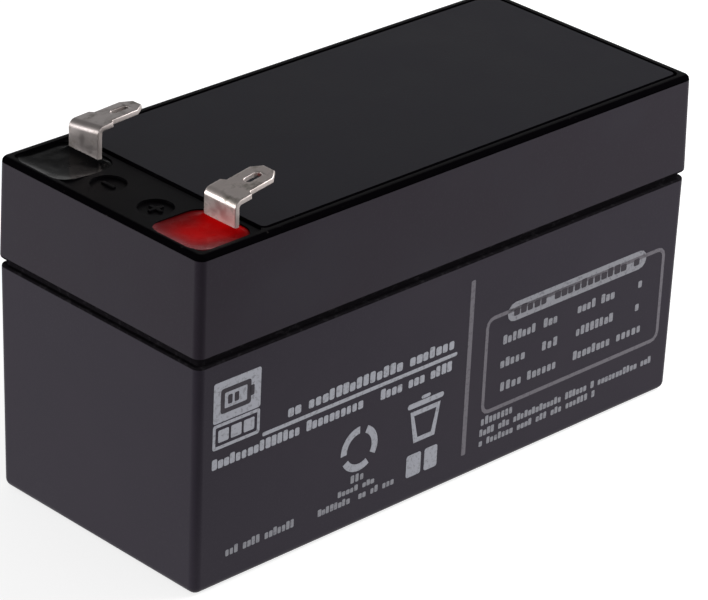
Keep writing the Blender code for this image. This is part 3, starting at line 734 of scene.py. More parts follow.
@dataclass
class PushOnTab:
    """A flat strip folded into a foot, an upright leg and a slotted tab."""

    polarity: Polarity
    metal: Material
    rise: float                 # lid's top to the top of the bend
    tilt_degrees: float         # how far the tab points up
    slant_degrees: float        # how far the bend line drops towards +Y
    thickness: float = 0.8
    width: float = 4.75
    length: float = 5.7
    chamfer: float = 1.3
    chamfer_length: float = 1.5
    shoulder_length: float = 1.9
    shoulder_ramp: float = 0.4
    leg_width: float = 6.35
    leg_from_post: float = 3.2
    bend_radius: float = 0.8
    bend_steps: int = 14
    foot_reach: float = 3.2
    foot_hole_radius: float = 1.7
    hole_steps: int = 32
    slot_from_tip: float = 3.0
    slot_length: float = 2.8
    slot_width: float = 1.3
    slot_radius: float = 0.64
    slot_steps: int = 8
    edge_radius: float = 0.16
    edge_steps: int = 3
    edge_degrees: float = 50.0
    post: Array = field(init=False)
    foot_level: float = field(init=False)
    lid_level: float = field(init=False)

    def __post_init__(self) -> None:
        """Read the post's place and the levels from the frame."""
        low, high = box_mm(self.polarity.value + "_epoxy")
        self.post = (low + high)[:2] / 2
        self.foot_level = box_mm(self.node)[0][2] + self.thickness / 2
        self.lid_level = box_mm("lid")[1][2]

    @property
    def node(self) -> str:
        """Name of the frame's node that the tab stands for."""
        return self.polarity.value + "_terminal"

    @property
    def slant(self) -> float:
        """The bend line's slant in radians."""
        return math.radians(self.slant_degrees)

    @property
    def full_turn(self) -> float:
        """The angle of the upper bend: a right angle less the tilt."""
        return math.radians(90 - self.tilt_degrees)

    @property
    def shoulder_end(self) -> float:
        """Distance along the middle line from the bend's start to the tab's narrow part."""
        flat_start = self.bend_radius * self.full_turn / math.cos(self.slant)
        return flat_start + self.shoulder_length + self.shoulder_ramp

    def on_strip(self, along: Array, across: Array) -> Array:
        """Points of the folded strip's middle surface.

        The flat strip is wrapped round a cylinder whose axis lies in the leg's plane, turned by
        the slant: a point at the distance q past the bend's start turns by q / radius until the
        bend is done, and goes straight on from there.

        Args:
            along: distance up the leg and on along the tab, from the bend's start.
            across: distance from the middle line, towards +Y.

        Returns:
            Points, one for each pair of distances.
        """
        beside = across * math.cos(self.slant) - along * math.sin(self.slant)
        onward = across * math.sin(self.slant) + along * math.cos(self.slant)
        turn = np.clip(onward / self.bend_radius, 0, self.full_turn)
        past = np.maximum(onward - self.bend_radius * self.full_turn, 0)
        up = np.minimum(onward, 0) + self.bend_radius * np.sin(turn) + past * np.cos(turn)
        out = self.bend_radius * (1 - np.cos(turn)) + past * np.sin(turn)
        start = self.lid_level + self.rise - self.thickness / 2 - self.bend_radius
        return np.stack([self.post[0] + self.leg_from_post + self.thickness / 2 + out,
                         self.post[1] + beside * math.cos(self.slant) + up * math.sin(self.slant),
                         start - beside * math.sin(self.slant) + up * math.cos(self.slant)],
                        axis=-1)

    def foot_rows(self) -> Array:
        """Points across the foot and its bend: a straight run and a quarter circle.

        Returns:
            Pairs of points, n by 2 by 3.
        """
        turn = np.linspace(0, math.pi / 2, self.bend_steps)
        leg_x = self.leg_from_post + self.thickness / 2
        along = np.append(-self.foot_reach, leg_x - self.bend_radius * (1 - np.sin(turn)))
        level = np.append(0.0, self.bend_radius * (1 - np.cos(turn))) + self.foot_level
        sides = np.array([-1.0, 1.0]) * self.leg_width / 2
        return np.stack(np.broadcast_arrays(self.post[0] + along[:, None], self.post[1] + sides,
                                            level[:, None]), axis=-1)

    def tab_rows(self) -> Array:
        """Points across the upper bend, parallel to its line, and across the tab.

        Returns:
            Pairs of points, n by 2 by 3.
        """
        sides = np.array([-1.0, 1.0])
        onward = np.linspace(0, self.bend_radius * self.full_turn, self.bend_steps)
        half, tip = self.leg_width / 2, self.shoulder_end + self.length
        bend = (onward[:, None] - sides * half * math.sin(self.slant)) / math.cos(self.slant)
        lengths = np.array([self.shoulder_end - self.shoulder_ramp, self.shoulder_end,
                            tip - self.chamfer_length, tip])
        halves = np.array([half, self.width / 2, self.width / 2, self.width / 2 - self.chamfer])
        along = np.concatenate([bend, np.repeat(lengths[:, None], 2, axis=1)])
        across = np.append(np.full(len(bend), half), halves)[:, None] * sides
        return self.on_strip(along, across)

    def cutter(self, name: str, ring: Array, normal: Array) -> Piece:
        """Make a prism that cuts right through the strip.

        Args:
            name: the prism's name.
            ring: outline of the cut on the strip's middle surface.
            normal: the strip's normal there, of length 1.

        Returns:
            The prism.
        """
        reach = normal * self.thickness
        return make_object(name, np.concatenate([ring - reach, ring + reach]),
                           prism_faces(len(ring)))

    def cutters(self) -> tuple[Piece, Piece]:
        """Make the cutters of the tab's slot and of the foot's hole, where the post passes.

        The slot's outline is a stadium on the strip, and the hole's is a circle.

        Returns:
            The two prisms.
        """
        along = self.shoulder_end + self.length - self.slot_from_tip
        outline = rounded_rectangles(
            np.array([[along, 0.0]]), np.array([[self.slot_length, self.slot_width]]) / 2,
            np.array([self.slot_radius]), self.slot_steps)[0]
        corner, ahead, aside = self.on_strip(np.array([along, along + 1, along]),
                                             np.array([0.0, 0.0, 1.0]))
        turn = np.linspace(0, 2 * math.pi, self.hole_steps, endpoint=False)
        ring = np.stack([self.post[0] + self.foot_hole_radius * np.cos(turn),
                         self.post[1] + self.foot_hole_radius * np.sin(turn),
                         np.full(turn.shape, self.foot_level)], axis=-1)
        return (self.cutter("slot_cutter", self.on_strip(outline[:, 0], outline[:, 1]),
                            np.cross(ahead - corner, aside - corner)),
                self.cutter("hole_cutter", ring, np.array([0.0, 0.0, 1.0])))

    def build(self) -> None:
        """Make the tab: the folded strip is given its thickness, cut and rounded."""
        rows = np.concatenate([self.foot_rows(), self.tab_rows()])
        strip = make_object(self.polarity.value + "_tab", rows.reshape(-1, 3),
                            grid_faces(len(rows), 2, False).tolist(), self.metal)
        strip.data.shade_smooth()
        thick = strip.modifiers.new("thickness", "SOLIDIFY")
        thick.thickness = self.thickness * MM
        thick.offset = 0.0
        thick.use_even_offset = True
        cutters = self.cutters()
        for cutter in cutters:
            cut = strip.modifiers.new(cutter.name, "BOOLEAN")
            cut.operation = "DIFFERENCE"
            cut.solver = "EXACT"
            cut.object = cutter
        round_edges(strip, self.edge_radius, self.edge_steps, self.edge_degrees)
        for cutter in cutters:
            bpy.data.objects.remove(cutter, do_unlink=True)
        add_piece(strip, "tinned_brass", self.node)


@dataclass
class PottedWell:
    """The resin poured round a tab's leg, low at the wall and domed inside."""

    tab: PushOnTab
    resin: Material
    slot: str
    corner_radius: float = 2.8
    corner_steps: int = 22
    rings: int = 44
    spread: float = 0.28        # by which it is wider than the CAD's resin, to reach the wall
    edge_drop: float = 0.53     # lid's top to the resin's level at the wall
    dome: float = 0.12          # the middle's height over that
    climb: float = 0.55         # how far the resin creeps up the leg
    climb_length: float = 0.7
    lip: float = 0.48           # how far it creeps up the wall at the near corner
    least_lip: float = 0.08     # share of that elsewhere
    lip_length: float = 1.3
    lip_spread: float = 0.09    # by which that length grows for each millimetre towards -Y
    ripple: float = 0.03
    ripple_turns: tuple = (1.1, 0.9, 2.3, -1.7)     # of its two waves for each millimetre
    ripple_starts: tuple = (0.6, -0.4)
    fine_ripple: float = 0.5    # height of the second wave beside the first
    fillet_end: int = 8         # powers of the share with which the leg's fillet
    ripple_end: int = 4         # and the ripple end at the wall
    half_width: float = 5.3     # from the well's middle to its wall
    lean_slope: float = 0.35    # how far the way that the resin ran turns from -X to -Y
    # reach of the painted sheen off the wall
    sheen_length: float = 2.0
    # middle, length and width of the painted glow round the foot's end at the leg
    glow_from_middle: float = 2.5
    glow_length: float = 7.2
    glow_width: float = 3.3
    least_glow: float = 0.1    # least share of painted glow, furthest from the metal
    wall_shade: float = 0.4     # share of the painted glow that painted shade at the wall takes away
    wall_reach: float = 0.8
    sharp_degrees: float = 60.0

    def off_leg(self, plan: Array) -> Array:
        """Distance from the leg's outline.

        Args:
            plan: places in plan from the well's middle.

        Returns:
            The distances.
        """
        leg_x = self.tab.leg_from_post + self.tab.thickness / 2
        return np.hypot(np.maximum(np.abs(plan[..., 0] - leg_x) - self.tab.thickness / 2, 0),
                        np.maximum(np.abs(plan[..., 1]) - self.tab.leg_width / 2, 0))

    def painted_glow(self, plan: Array, share: Array) -> Array:
        """Share of painted glow off the metal that lies behind the resin.

        It falls off from the foot's end at the leg as exp(-(x / length) ** 2 - (y / width) ** 2),
        and again within a short way of the wall, where painted shade takes part of it.

        Args:
            plan: places in plan from the well's middle.
            share: how far out each is, from 0 at the middle to 1 at the wall.

        Returns:
            Shares from 0 to 1.
        """
        x, y = plan[..., 0] - self.glow_from_middle, plan[..., 1]
        near = np.exp(-(x / self.glow_length) ** 2 - (y / self.glow_width) ** 2)
        wall_shading = self.wall_shade * np.exp(-(1 - share) * self.half_width / self.wall_reach)
        return (self.least_glow + (1 - self.least_glow) * near) * (1 - wall_shading)

    def lean(self, plan: Array) -> Array:
        """How far a place lies towards the near corner, from 0 to 1: the resin ran that way."""
        run = plan[..., 0] + self.lean_slope * plan[..., 1]
        return np.clip(-run / self.half_width, 0, 1)

    def painted_sheen(self, plan: Array, share: Array) -> Array:
        """Share of painted sheen near the wall: it falls off as exp(-d / length) off the wall."""
        return self.lean(plan) * np.exp(-(1 - share) * self.half_width / self.sheen_length)

    def height(self, plan: Array, share: Array) -> Array:
        """Height of the resin over its edge.

        It is a dome, (1 - share ** 2) high, plus a fillet that falls off as exp(-d / length) with
        the distance d from the leg, a like lip at the wall, highest and widest where the resin
        ran, and a low ripple, the sum of two waves. The fillet and the ripple end at the wall.

        Args:
            plan: places in plan from the well's middle.
            share: how far out each is, from 0 at the middle to 1 at the wall.

        Returns:
            The heights.
        """
        x, y = plan[..., 0], plan[..., 1]
        fillet = self.climb * np.exp(-self.off_leg(plan) / self.climb_length)
        lip = self.lip * (self.least_lip + (1 - self.least_lip) * self.lean(plan)) * np.exp(
            -(1 - share) * self.half_width / (self.lip_length - self.lip_spread * y))
        turn_x, turn_y, fine_x, fine_y = self.ripple_turns
        start_x, start_y = self.ripple_starts
        waves = (np.sin(turn_x * x + start_x) * np.cos(turn_y * y + start_y)
                 + self.fine_ripple * np.sin(fine_x * x + fine_y * y))
        return (self.dome * (1 - share ** 2) + fillet * (1 - share ** self.fillet_end) + lip
                + self.ripple * waves * (1 - share ** self.ripple_end))

    def build(self) -> None:
        """Make the resin as one closed body: rings from the crown out, down the wall and in."""
        node = self.tab.polarity.value + "_epoxy"
        low, high = box_mm(node)
        edge = self.tab.lid_level - self.edge_drop
        loop = rounded_rectangles(np.zeros((1, 2)), (high - low)[None, :2] / 2 + self.spread,
                                  np.array([self.corner_radius]), self.corner_steps)[0]
        count = len(loop)
        share = np.linspace(0, 1, self.rings + 1)[1:, None].repeat(count, axis=1)
        plan = share[..., None] * loop
        upper = np.dstack([plan, edge + self.height(plan, share)]).reshape(-1, 3)
        lower = np.insert(loop, 2, low[2], axis=1)
        crown = (0, 0, edge + self.height(np.zeros(2), np.zeros(())))
        points = np.vstack([upper, lower, crown, (0, 0, low[2])])
        here, pole = np.arange(count), len(points) - 2
        after, last = np.roll(here, -1), pole - count
        faces = grid_faces(self.rings + 1, count, True)[:, ::-1].tolist()
        faces += np.stack([np.full(count, pole), here, after], axis=-1).tolist()
        faces += np.stack([np.full(count, pole + 1), last + after, last + here], axis=-1).tolist()
        middle = np.append(self.tab.post, 0.0)
        body = make_object(self.tab.polarity.value + "_resin", points + middle, faces, self.resin)
        body.data.shade_smooth()
        body.data.set_sharp_from_angle(angle=math.radians(self.sharp_degrees))
        places = points[:, :2]
        shares = np.concatenate([share.ravel(), np.ones(count), [0.0, 0.0]])
        # painted glow and painted sheen, kept on the mesh for the resin's material
        for name, values in (("painted_glow", self.painted_glow(places, shares)),
                             ("painted_sheen", self.painted_sheen(places, shares))):
            body.data.attributes.new(name, "FLOAT", "POINT").data.foreach_set(
                "value", values.astype(np.float32))
        add_piece(body, self.slot, node)


@dataclass
class PolarityMark:
    """A raised plus or minus in its dish, moulded with the deck."""

    polarity: Polarity
    plastic: Material
    from_middle: float = 4.9
    arm: float = 1.25
    half_width: float = 0.28
    floor_drop: float = 0.72    # lid's top to the dish's floor
    height: float = 0.28
    sunk: float = 0.05
    edge_radius: float = 0.09
    edge_steps: int = 2

    def build(self) -> None:
        """Make the mark: the outline of one bar or two crossed bars, raised and rounded."""
        low, high = box_mm(self.polarity.value + "_epoxy")
        x, side = (low + high)[:2] / 2
        base = box_mm("lid")[1][2] - self.floor_drop
        a, w = self.arm, self.half_width
        if self.polarity is Polarity.POSITIVE:
            outline = [(a, -w), (a, w), (w, w), (w, a), (-w, a), (-w, w),
                       (-a, w), (-a, -w), (-w, -w), (-w, -a), (w, -a), (w, -w)]
        else:
            outline = [(w, -a), (w, a), (-w, a), (-w, -a)]
        plan = np.array(outline) + (x, math.copysign(self.from_middle, side))
        points = np.concatenate([np.insert(plan, 2, level, axis=1)
                                 for level in (base - self.sunk, base + self.height)])
        mark = make_object(self.polarity.value + "_mark", points, prism_faces(len(plan)),
                           self.plastic)
        mark.data.shade_smooth()
        round_edges(mark, self.edge_radius, self.edge_steps)
        add_piece(mark, "case_abs")


@dataclass(frozen=True)
class Words:
    """Lines of print that plain blocks stand for, with the blocks' rhythm."""

    name: str
    areas: tuple                # x, z, x, z of each line
    pitch: float                # distance between two blocks
    radius: float               # of a block's corners
    gaps: float = 0.13          # share of places that stay empty
    widths: tuple = (0.74, 0.9)     # least and most share of the pitch that a block fills
    tall: float = 0.4           # share of blocks that are of full height
    low_height: float = 0.76    # height of the others


def table_areas() -> tuple:
    """List the areas of the table's words, in three rows.

    Returns:
        The x, z, x, z of each.
    """
    half_height = 0.725
    rows = {20.4: ((10.9, 17.8), (19.3, 22.4), (26.5, 34.6), (39.6, 40.9)),
            16.6: ((10.6, 15.9), (19.3, 22.8), (26.5, 34.6), (39.3, 40.9)),
            12.7: ((10.9, 15.6), (16.5, 22.8), (26.2, 34.3), (35.6, 41.2))}
    return tuple((low, level - half_height, high, level + half_height)
                 for level, ends in rows.items() for low, high in ends)


@dataclass
class FrontPrint:
    """The print on the long side: plain blocks, lines and signs that say nothing.

    Boxes are x, z, x, z. Those of a sign are taken from its middle.
    """

    ink: Material
    table_ink: Material
    faint_ink: Material
    dark_ink: Material
    film: float = 0.025
    dark_films: int = 2         # the dark ink's and the one that it lies on
    sunk: float = 0.01
    draft: float = 0.35         # how far the wall runs in from its shoulder to its foot
    seed: int = 7
    corner_steps: int = 3
    round_share: float = 0.98   # most that two corners take of a block's side
    symbol: tuple = (-45.4, 26.1, -36.8, 32.3)
    symbol_radius: float = 0.35
    cell: tuple = (-3.0, -1.9, 2.5, 1.9)
    cell_line: float = 0.7
    cell_marks: tuple = ((2.3, -0.8, 3.1, 0.8), (-1.7, -0.7, -0.9, 0.7), (-0.5, -0.7, 0.3, 0.7))
    symbol_box: tuple = (-45.4, 22.0, -36.8, 25.9)
    symbol_box_line: float = 0.5
    small_radii: tuple = (0.4, 0.2)     # outer and inner corners of these two frames
    cells: int = 3
    cell_margin: tuple = (0.8, 1.0)     # box to cells, along X and along Z
    cell_gap: float = 0.4
    heading: Words = Words("print_heading", ((-31.5, 22.45, 1.0, 24.2),), 1.3, 0.28)
    second_line: Words = Words("print_second_line", ((-45.4, 19.0, 0.6, 20.65),), 1.08, 0.24, 0.1)
    rule: tuple = (-36.2, 21.15, 1.4, 21.75)
    divider: tuple = (3.5, 3.9, 4.35, 32.3)
    line_radius: float = 0.2
    frame_box: tuple = (7.1, 9.2, 45.1, 25.1)
    frame_line: float = 0.62
    frame_radii: tuple = (1.6, 0.98)
    capsule: tuple = (11.5, 22.9, 40.9, 25.95)
    capsule_radius: float = 1.6
    capsule_words: Words = Words("print_capsule_words", ((12.8, 23.7, 39.6, 25.15),), 1.4, 0.25,
                                 0.12)
    table: Words = Words("print_table_rows", table_areas(), 0.95, 0.2, 0.05)
    small_lines: Words = Words(
        "print_small_lines",
        ((7.3, 7.5, 14.0, 8.9), (7.1, 5.75, 44.0, 6.9), (7.1, 4.1, 31.8, 5.2),
         (-42.4, 4.45, -29.4, 5.75), (-25.0, 4.25, -10.0, 5.35),
         (-21.2, 5.9, -14.0, 6.85), (-18.8, 7.35, -16.0, 8.6)), 0.78, 0.16, 0.12)
    loop_middle: tuple = (-17.4, 12.6)
    loop_radius: float = 3.0
    loop_width: float = 1.15
    loop_arcs: int = 3
    arc_degrees: float = 94.0
    arc_points: int = 12
    tray_middle: tuple = (-4.45, 12.6)
    tray: tuple = (3.0, 2.1, 2.2, 3.0)  # half width above and below, height over and under
    tray_line: float = 0.75
    tray_bars: tuple = ((-3.6, 2.75, 3.6, 3.6), (-0.9, 3.75, 0.9, 4.3),
                        (-3.3, -8.4, -0.4, -4.8), (0.3, -8.4, 2.9, -4.8))
    bar_radius: float = 0.4
    draw: np.random.Generator = field(init=False)
    wall: float = field(init=False)         # Y of the wall at its shoulder
    shoulder: float = field(init=False)     # height of that, where the seam begins

    def __post_init__(self) -> None:
        """Start the seeded draw and read the wall's place from the frame."""
        self.draw = np.random.default_rng(self.seed)
        self.wall = box_mm("container")[0][1]
        self.shoulder = box_mm("lid")[0][2] - SEAM

    def on_wall(self, plan: Array, lift: float) -> Array:
        """Carry x, z to the drafted wall: y = wall + draft * (1 - z / shoulder) - lift."""
        x, z = plan[..., 0], plan[..., 1]
        return np.stack([x, self.wall + self.draft * (1 - z / self.shoulder) - lift, z], axis=-1)

    def lift(self, ink: Material) -> float:
        """Height of an ink's face over the wall."""
        return self.film * (self.dark_films if ink is self.dark_ink else 1)

    def fill(self, name: str, outlines: Array, ink: Material) -> None:
        """Print filled outlines of as many points each, as one piece.

        Args:
            name: the piece's name.
            outlines: anticlockwise outlines, n by k by 2.
            ink: what it is printed with.
        """
        number, count = outlines.shape[:2]
        levels = np.stack([self.on_wall(outlines, -self.sunk),
                           self.on_wall(outlines, self.lift(ink))], axis=1)
        add_piece(make_object(name, levels.reshape(-1, 3), prism_faces(count, number), ink), None)

    def band(self, name: str, outer: Array, inner: Array, ink: Material) -> None:
        """Print the band between two loops, as a closed ring of four rows of points.

        Args:
            name: the piece's name.
            outer: the outer loop, k by 2.
            inner: the inner loop, k by 2.
            ink: what it is printed with.
        """
        lift = self.lift(ink)
        loops = (self.on_wall(outer, -self.sunk), self.on_wall(outer, lift),
                 self.on_wall(inner, lift), self.on_wall(inner, -self.sunk))
        count = len(outer)
        faces = grid_faces(4, count, True)
        back = np.stack([faces[-count:, 3], faces[-count:, 2], faces[:count, 1], faces[:count, 0]],
                        axis=-1)
        add_piece(make_object(name, np.concatenate(loops), faces.tolist() + back.tolist(), ink),
                  None)

    def bars(self, boxes: Any, radius: float) -> Array:
        """Outlines of upright rectangles with round corners.

        Args:
            boxes: the rectangles, n by 4.
            radius: of the corners, where the rectangle is wide enough.

        Returns:
            The outlines, n by k by 2.
        """
        boxes = np.asarray(boxes, float)
        halves = (boxes[:, 2:] - boxes[:, :2]) / 2
        radii = np.minimum(radius, halves.min(axis=1) * self.round_share)
        return rounded_rectangles((boxes[:, :2] + boxes[:, 2:]) / 2, halves, radii,
                                  self.corner_steps)

    def outline_box(self, name: str, box: Any, line: float, radii: tuple, ink: Material) -> None:
        """Print a box's outline, of that line inside it and radii outside and inside."""
        inner = np.array(box) + (line, line, -line, -line)
        self.band(name, self.bars([box], radii[0])[0], self.bars([inner], radii[1])[0], ink)

    def blocks(self, words: Words, area: tuple) -> Array:
        """Fill a line of print with plain blocks that have the rhythm of words.

        Block k starts at k times the pitch. Its width and its height, full or lower, are drawn
        at random, and some places stay empty.

        Args:
            words: the rhythm.
            area: the line's box.

        Returns:
            The blocks' boxes, n by 4.
        """
        low_x, low_z, high_x, high_z = area
        count = max(int((high_x - low_x) / words.pitch), 1)
        starts = low_x + (high_x - low_x) / count * np.arange(count)
        widths = words.pitch * self.draw.uniform(*words.widths, count)
        tall = self.draw.random(count) < words.tall
        tops = np.where(tall, high_z, low_z + words.low_height * (high_z - low_z))
        shown = self.draw.random(count) > words.gaps
        shown[[0, -1]] = True
        return np.stack([starts, np.full(count, low_z), starts + widths, tops], axis=-1)[shown]

    def write(self, words: Words, ink: Material) -> None:
        """Print lines of words as one piece."""
        boxes = np.concatenate([self.blocks(words, area) for area in words.areas])
        self.fill(words.name, self.bars(boxes, words.radius), ink)

    def make_symbol(self) -> None:
        """Print a square with a plain cell drawn in it, and a box of cells below it."""
        square = np.array(self.symbol)
        middle = np.tile((square[:2] + square[2:]) / 2, 2)
        self.fill("print_symbol_square", self.bars([square], self.symbol_radius), self.ink)
        self.outline_box("print_symbol_cell", middle + self.cell, self.cell_line,
                         self.small_radii, self.dark_ink)
        self.fill("print_symbol_marks", self.bars(middle + self.cell_marks, self.small_radii[1]),
                  self.dark_ink)
        self.outline_box("print_symbol_box", self.symbol_box, self.symbol_box_line,
                         self.small_radii, self.ink)
        low_x, low_z, high_x, high_z = self.symbol_box
        margin_x, margin_z = self.cell_margin
        ends = np.linspace(low_x + margin_x, high_x - margin_x, self.cells + 1)
        floor, top = np.full(self.cells, low_z + margin_z), np.full(self.cells, high_z - margin_z)
        cells = np.stack([ends[:-1] + self.cell_gap / 2, floor, ends[1:] - self.cell_gap / 2, top],
                         axis=-1)
        self.fill("print_symbol_cells", self.bars(cells, self.small_radii[1]), self.ink)

    def make_signs(self) -> None:
        """Print a ring of arcs, and a tapered tray with bars over it and blocks under it.

        An arc's points lie at the radius times (cos, sin) of the angle from the ring's middle.
        """
        starts = math.pi / 2 + 2 * math.pi / self.loop_arcs * np.arange(self.loop_arcs)
        turn = starts[:, None] + np.linspace(0, math.radians(self.arc_degrees), self.arc_points)
        ring = np.stack([np.cos(turn), np.sin(turn)], axis=-1)
        outer, inner = (self.loop_radius + self.loop_width * side / 2 for side in (1, -1))
        arcs = np.concatenate([outer * ring, inner * ring[:, ::-1]], axis=1)
        self.fill("print_loop_sign", self.loop_middle + arcs, self.ink)
        loops = []
        for inset in (0.0, self.tray_line):
            high, low, top, foot = np.array(self.tray) - inset
            loops.append(np.array([(high, top), (-high, top), (-low, -foot), (low, -foot)])
                         + self.tray_middle)
        self.band("print_tray_sign", *loops, self.ink)
        bars = np.tile(self.tray_middle, 2) + self.tray_bars
        self.fill("print_tray_bars", self.bars(bars, self.bar_radius), self.ink)

    def build(self) -> None:
        """Print the whole side."""
        self.make_symbol()
        self.write(self.heading, self.ink)
        self.write(self.second_line, self.ink)
        self.fill("print_rule", self.bars([self.rule], self.line_radius), self.ink)
        self.fill("print_divider", self.bars([self.divider], self.line_radius), self.faint_ink)
        self.outline_box("print_table_frame", self.frame_box, self.frame_line, self.frame_radii,
                         self.faint_ink)
        self.fill("print_capsule", self.bars([self.capsule], self.capsule_radius), self.table_ink)
        self.write(self.capsule_words, self.dark_ink)
        self.write(self.table, self.table_ink)
        self.write(self.small_lines, self.table_ink)
        self.make_signs()


@dataclass
class CellPack:
    """What the case holds: plates, straps, links, mats, caps and rings, dressed where they are."""

    positive: Material
    negative: Material
    links: Material
    mats: Material
    rubber: Material

    def build(self) -> None:
        """Give each inner node the finish that its name asks for."""
        plan = {"positive_group": self.positive, "negative_group": self.negative,
                "link": self.links, "separator": self.mats, "valve_cap": self.rubber,
                "positive_post_ring": self.rubber, "negative_post_ring": self.rubber}
        for name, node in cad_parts.items():
            for start, material in plan.items():
                if name.startswith(start):
                    node.data.materials.clear()
                    node.data.materials.append(material)
                    LOG.info("node %s: %s", name, material.name)


@dataclass(frozen=True)
class Lamp:
    """A square soft lamp that looks at the battery's middle."""

    name: str
    place: tuple
    size: float
    watts: float

    def build(self) -> None:
        """Make the lamp."""
        data = bpy.data.lights.new(self.name, "AREA")
        data.shape = "SQUARE"
        data.size = self.size
        data.energy = self.watts
        lamp = add_object(self.name, data)
        lamp.location = self.place
        lamp.rotation_euler = (-Vector(self.place)).to_track_quat("-Z", "Y").to_euler()


@dataclass(frozen=True)
class Studio:
    """A white floor, two soft lamps and a world that is bright at the horizon, dim overhead."""

    floor_radius: float = 2.5
    floor_points: int = 64
    floor_drop: float = 0.00005     # floor's level under the battery
    floor_albedo: float = 0.50
    floor_glow: float = 0.74
    light_low: float = 0.85         # the world's light at the horizon
    light_high: float = 0.25        # and overhead, from this sine of the elevation on
    high_sine: float = 0.8
    horizon_sine: float = 0.10      # sine of the elevation up to which a reflection is white
    dim_sine: float = 0.46          # and from which it is dim
    dim: float = 0.24
    zenith: float = 0.12
    flag_near: float = 0.052        # a dark flag in reflections, between these distances from the
    flag_far: float = 0.085         # battery's middle towards the camera
    flag_shade: float = 0.06
    lamps: tuple = (Lamp("key_lamp", (-0.85, 0.55, 0.15), 0.3, 4.0),
                    Lamp("near_lamp", (0.26, -0.12, 0.24), 0.22, 1.05))

    def rays(self, tree: Tree) -> tuple[Socket, Socket]:
        """Add shares that are 1 for some rays only.

        Args:
            tree: the tree of a material or of the world.

        Returns:
            The share of camera rays, and that of glossy and transmission rays.
        """
        camera = add_node(tree, "LightPath", (), "Is Camera Ray")
        path = camera.node.outputs
        return camera, add_node(tree, "Math", (path["Is Glossy Ray"], path["Is Transmission Ray"]),
                                operation="MAXIMUM")

    def make_world(self) -> None:
        """Make the world: white to the camera, banded in reflections, plain grey as light."""
        world = bpy.data.worlds.new("studio")
        world.use_nodes = True
        bpy.context.scene.world = world
        tree = world.node_tree
        camera, shiny = self.rays(tree)
        way = add_node(tree, "TexCoord", (), "Generated")
        height = add_node(tree, "SeparateXYZ", (way,), "Z")
        band = add_node(tree, "MapRange", (height, self.horizon_sine, self.dim_sine, 1.0, self.dim),
                        **SMOOTH)
        over = add_node(tree, "MapRange", (height, self.dim_sine, 1.0, 0.0, self.dim - self.zenith))
        shown = add_node(tree, "Math", (band, over), operation="SUBTRACT")
        light = add_node(tree, "MapRange", (height, 0.0, self.high_sine, self.light_low,
                                            self.light_high))
        lit = add_node(tree, "Mix", {SHARE: shiny, VALUE_A: light, VALUE_B: shown})
        final = add_node(tree, "Mix", {SHARE: camera, VALUE_A: lit, VALUE_B: 1.0})
        feed(tree.nodes["Background"], {"Color": linear(WHITE), "Strength": final})

    def floor_material(self, toward: Vector) -> Material:
        """Make white paper with a glow for the camera, and a dark flag in what shiny faces see.

        Args:
            toward: level direction from the battery to the camera.

        Returns:
            The material.
        """
        material = bpy.data.materials.new("white_paper_floor")
        material.use_nodes = True
        tree = material.node_tree
        tree.nodes.remove(tree.nodes["Principled BSDF"])
        camera, shiny = self.rays(tree)
        diffuse = add_node(tree, "BsdfDiffuse", ([part * self.floor_albedo
                                                  for part in linear(WHITE)],))
        glow = add_node(tree, "Math", (camera, self.floor_glow), operation="MULTIPLY")
        lit = add_node(tree, "AddShader", (diffuse,
                                           add_node(tree, "Emission", (linear(WHITE), glow))))
        place = add_node(tree, "TexCoord", (), "Object")
        reach = add_node(tree, "VectorMath", (place, toward), "Value", operation="DOT_PRODUCT")
        flag = add_node(tree, "MapRange", (reach, self.flag_near, self.flag_far, 1.0,
                                           self.flag_shade), **SMOOTH)
        seen = add_node(tree, "Emission", (linear(WHITE), flag))
        feed(tree.nodes["Material Output"],
             {"Surface": add_node(tree, "MixShader", (shiny, lit, seen))})
        return material

    def build(self, toward: Vector) -> None:
        """Set up the view transform, the world, the lamps and the floor, a disc.

        Args:
            toward: level direction from the battery to the camera.
        """
        bpy.context.scene.view_settings.view_transform = "Standard"
        self.make_world()
        turn = np.linspace(0, 2 * math.pi, self.floor_points, endpoint=False)
        points = np.stack([self.floor_radius * np.cos(turn), self.floor_radius * np.sin(turn),
                           np.full(turn.shape, -self.floor_drop)], axis=-1) / MM
        floor = make_object("floor", points, [list(range(self.floor_points))],
                            self.floor_material(toward))
        for lamp in self.lamps:
            lamp.build()


@dataclass(frozen=True)
class PhotoView:
    """The photograph's viewpoint, matched to the case's corners in its 708 by 600 frame."""

    place: tuple = (-357.7, -363.3, 278.2)
    forward: tuple = (0.628, 0.636, -0.4486)
    roll_degrees: float = 2.28
    focal_pixels: float = 3918.0
    width_pixels: float = 708.0
    sensor: float = 36.0
    clip: tuple = (10.0, 20000.0)   # nearest and farthest that it sees

    def level_back(self) -> Vector:
        """Level direction from the battery towards the camera."""
        return Vector((-self.forward[0], -self.forward[1], 0.0)).normalized()

    def build(self) -> None:
        """Make the camera, turned about its own axis by the roll, and give it to the scene."""
        ahead = Vector(self.forward).normalized()
        right = ahead.cross(Vector((0, 0, 1))).normalized()
        up = right.cross(ahead)
        roll = math.radians(self.roll_degrees)
        turned_right = right * math.cos(roll) + up * math.sin(roll)
        turned_up = up * math.cos(roll) - right * math.sin(roll)
        data = bpy.data.cameras.new("photo_camera")
        data.sensor_width = self.sensor
        data.lens = self.focal_pixels / self.width_pixels * self.sensor
        data.clip_start, data.clip_end = np.array(self.clip) * MM
        camera = add_object("photo_camera", data)
        turn = Matrix((turned_right, turned_up, -ahead)).transposed().to_4x4()
        camera.matrix_world = Matrix.Translation(Vector(self.place) * MM) @ turn
        bpy.context.scene.camera = camera


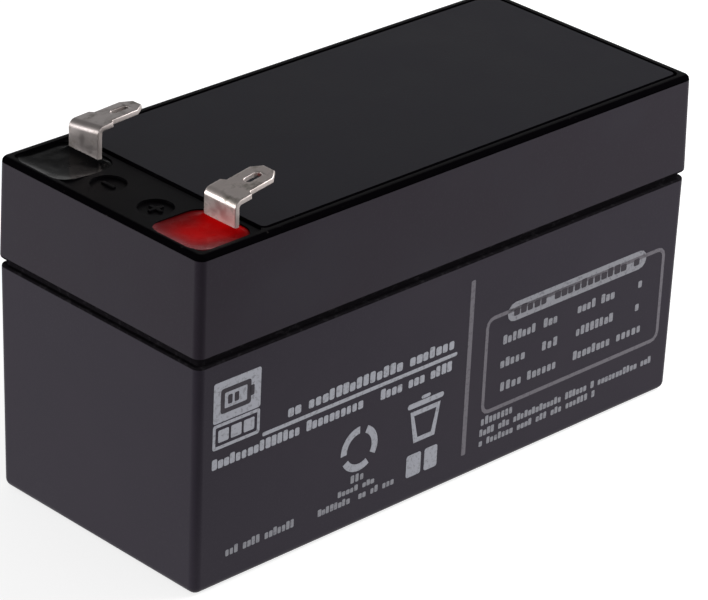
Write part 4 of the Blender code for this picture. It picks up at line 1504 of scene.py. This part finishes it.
def main() -> None:
    """Build the battery's looks, piece by piece."""
    logging.basicConfig(level=logging.INFO, format="%(name)s %(message)s")
    view = PhotoView()
    view.build()
    Studio().build(view.level_back())

    polish = PolishedAbs().build()
    MouldedBox(
        case_grain=GrainedAbs().build(),
        lid_grain=GrainedAbs(name="grained_lid_abs", base="#2e2831", worn="#343038").build(),
        cover_grain=GrainedAbs(name="grained_cover_abs", base="#19181e", worn="#1f1e24",
                               roughness=0.35, specular=0.05).build(),
        # the seam's finish is painted shade
        polish=polish, seam_shade=SeamShade().build(),
        rounding=PolishedAbs(name="rounded_edge_abs", base="#060507", scuffed="#5b5855",
                             specular=0.0, scuff_level=0.67).build()).build()

    positive = PushOnTab(Polarity.POSITIVE, TinnedBrass().build(),
                         rise=4.0, tilt_degrees=9.5, slant_degrees=0.0)
    # Each resin's lit colour paints a glow near the leg, and its pale one a sheen near the wall.
    red = CastResin(name="red_epoxy", base="#2a0305", lit="#e00204", pale="#86454b",
                    roughness=0.24, subsurface=0.1, specular=0.012)
    # A darker copy of the tin for the negative tab: painted shade.
    shaded_metal = TinnedBrass(name="shaded_tinned_brass_strip", base="#a9a19f", stain="#767069")
    negative = PushOnTab(Polarity.NEGATIVE, shaded_metal.build(),
                         rise=4.5, tilt_degrees=6.5, slant_degrees=8.0)
    black = CastResin(name="black_epoxy", base="#050506", lit="#09090a", pale="#151517",
                      roughness=0.16, subsurface=0.0, specular=0.035)
    for tab, resin in ((positive, red), (negative, black)):
        tab.build()
        PottedWell(tab, resin.build(), resin.name).build()
        PolarityMark(tab.polarity, polish).build()

    FrontPrint(
        ink=ScreenInk().build(),
        table_ink=ScreenInk(name="light_screen_ink", base="#9b9ba2", thin="#7e7d84").build(),
        faint_ink=ScreenInk(name="faint_screen_ink", base="#77737a", thin="#646067").build(),
        dark_ink=ScreenInk(name="dark_screen_ink", base="#3a353d", thin="#332e36").build()).build()
    strap_level = box_mm("separator_1a")[1][2]
    CellPack(
        positive=PastedLead(name="positive_plates", base="#4a2f24", fleck="#5d4034",
                            strap_level=strap_level).build(),
        negative=PastedLead(name="negative_plates", base="#6c6f74", fleck="#83868b",
                            strap_level=strap_level).build(),
        links=CastLead().build(), mats=GlassMat().build(), rubber=MouldedRubber().build()).build()


if __name__ == "__main__":
    main()
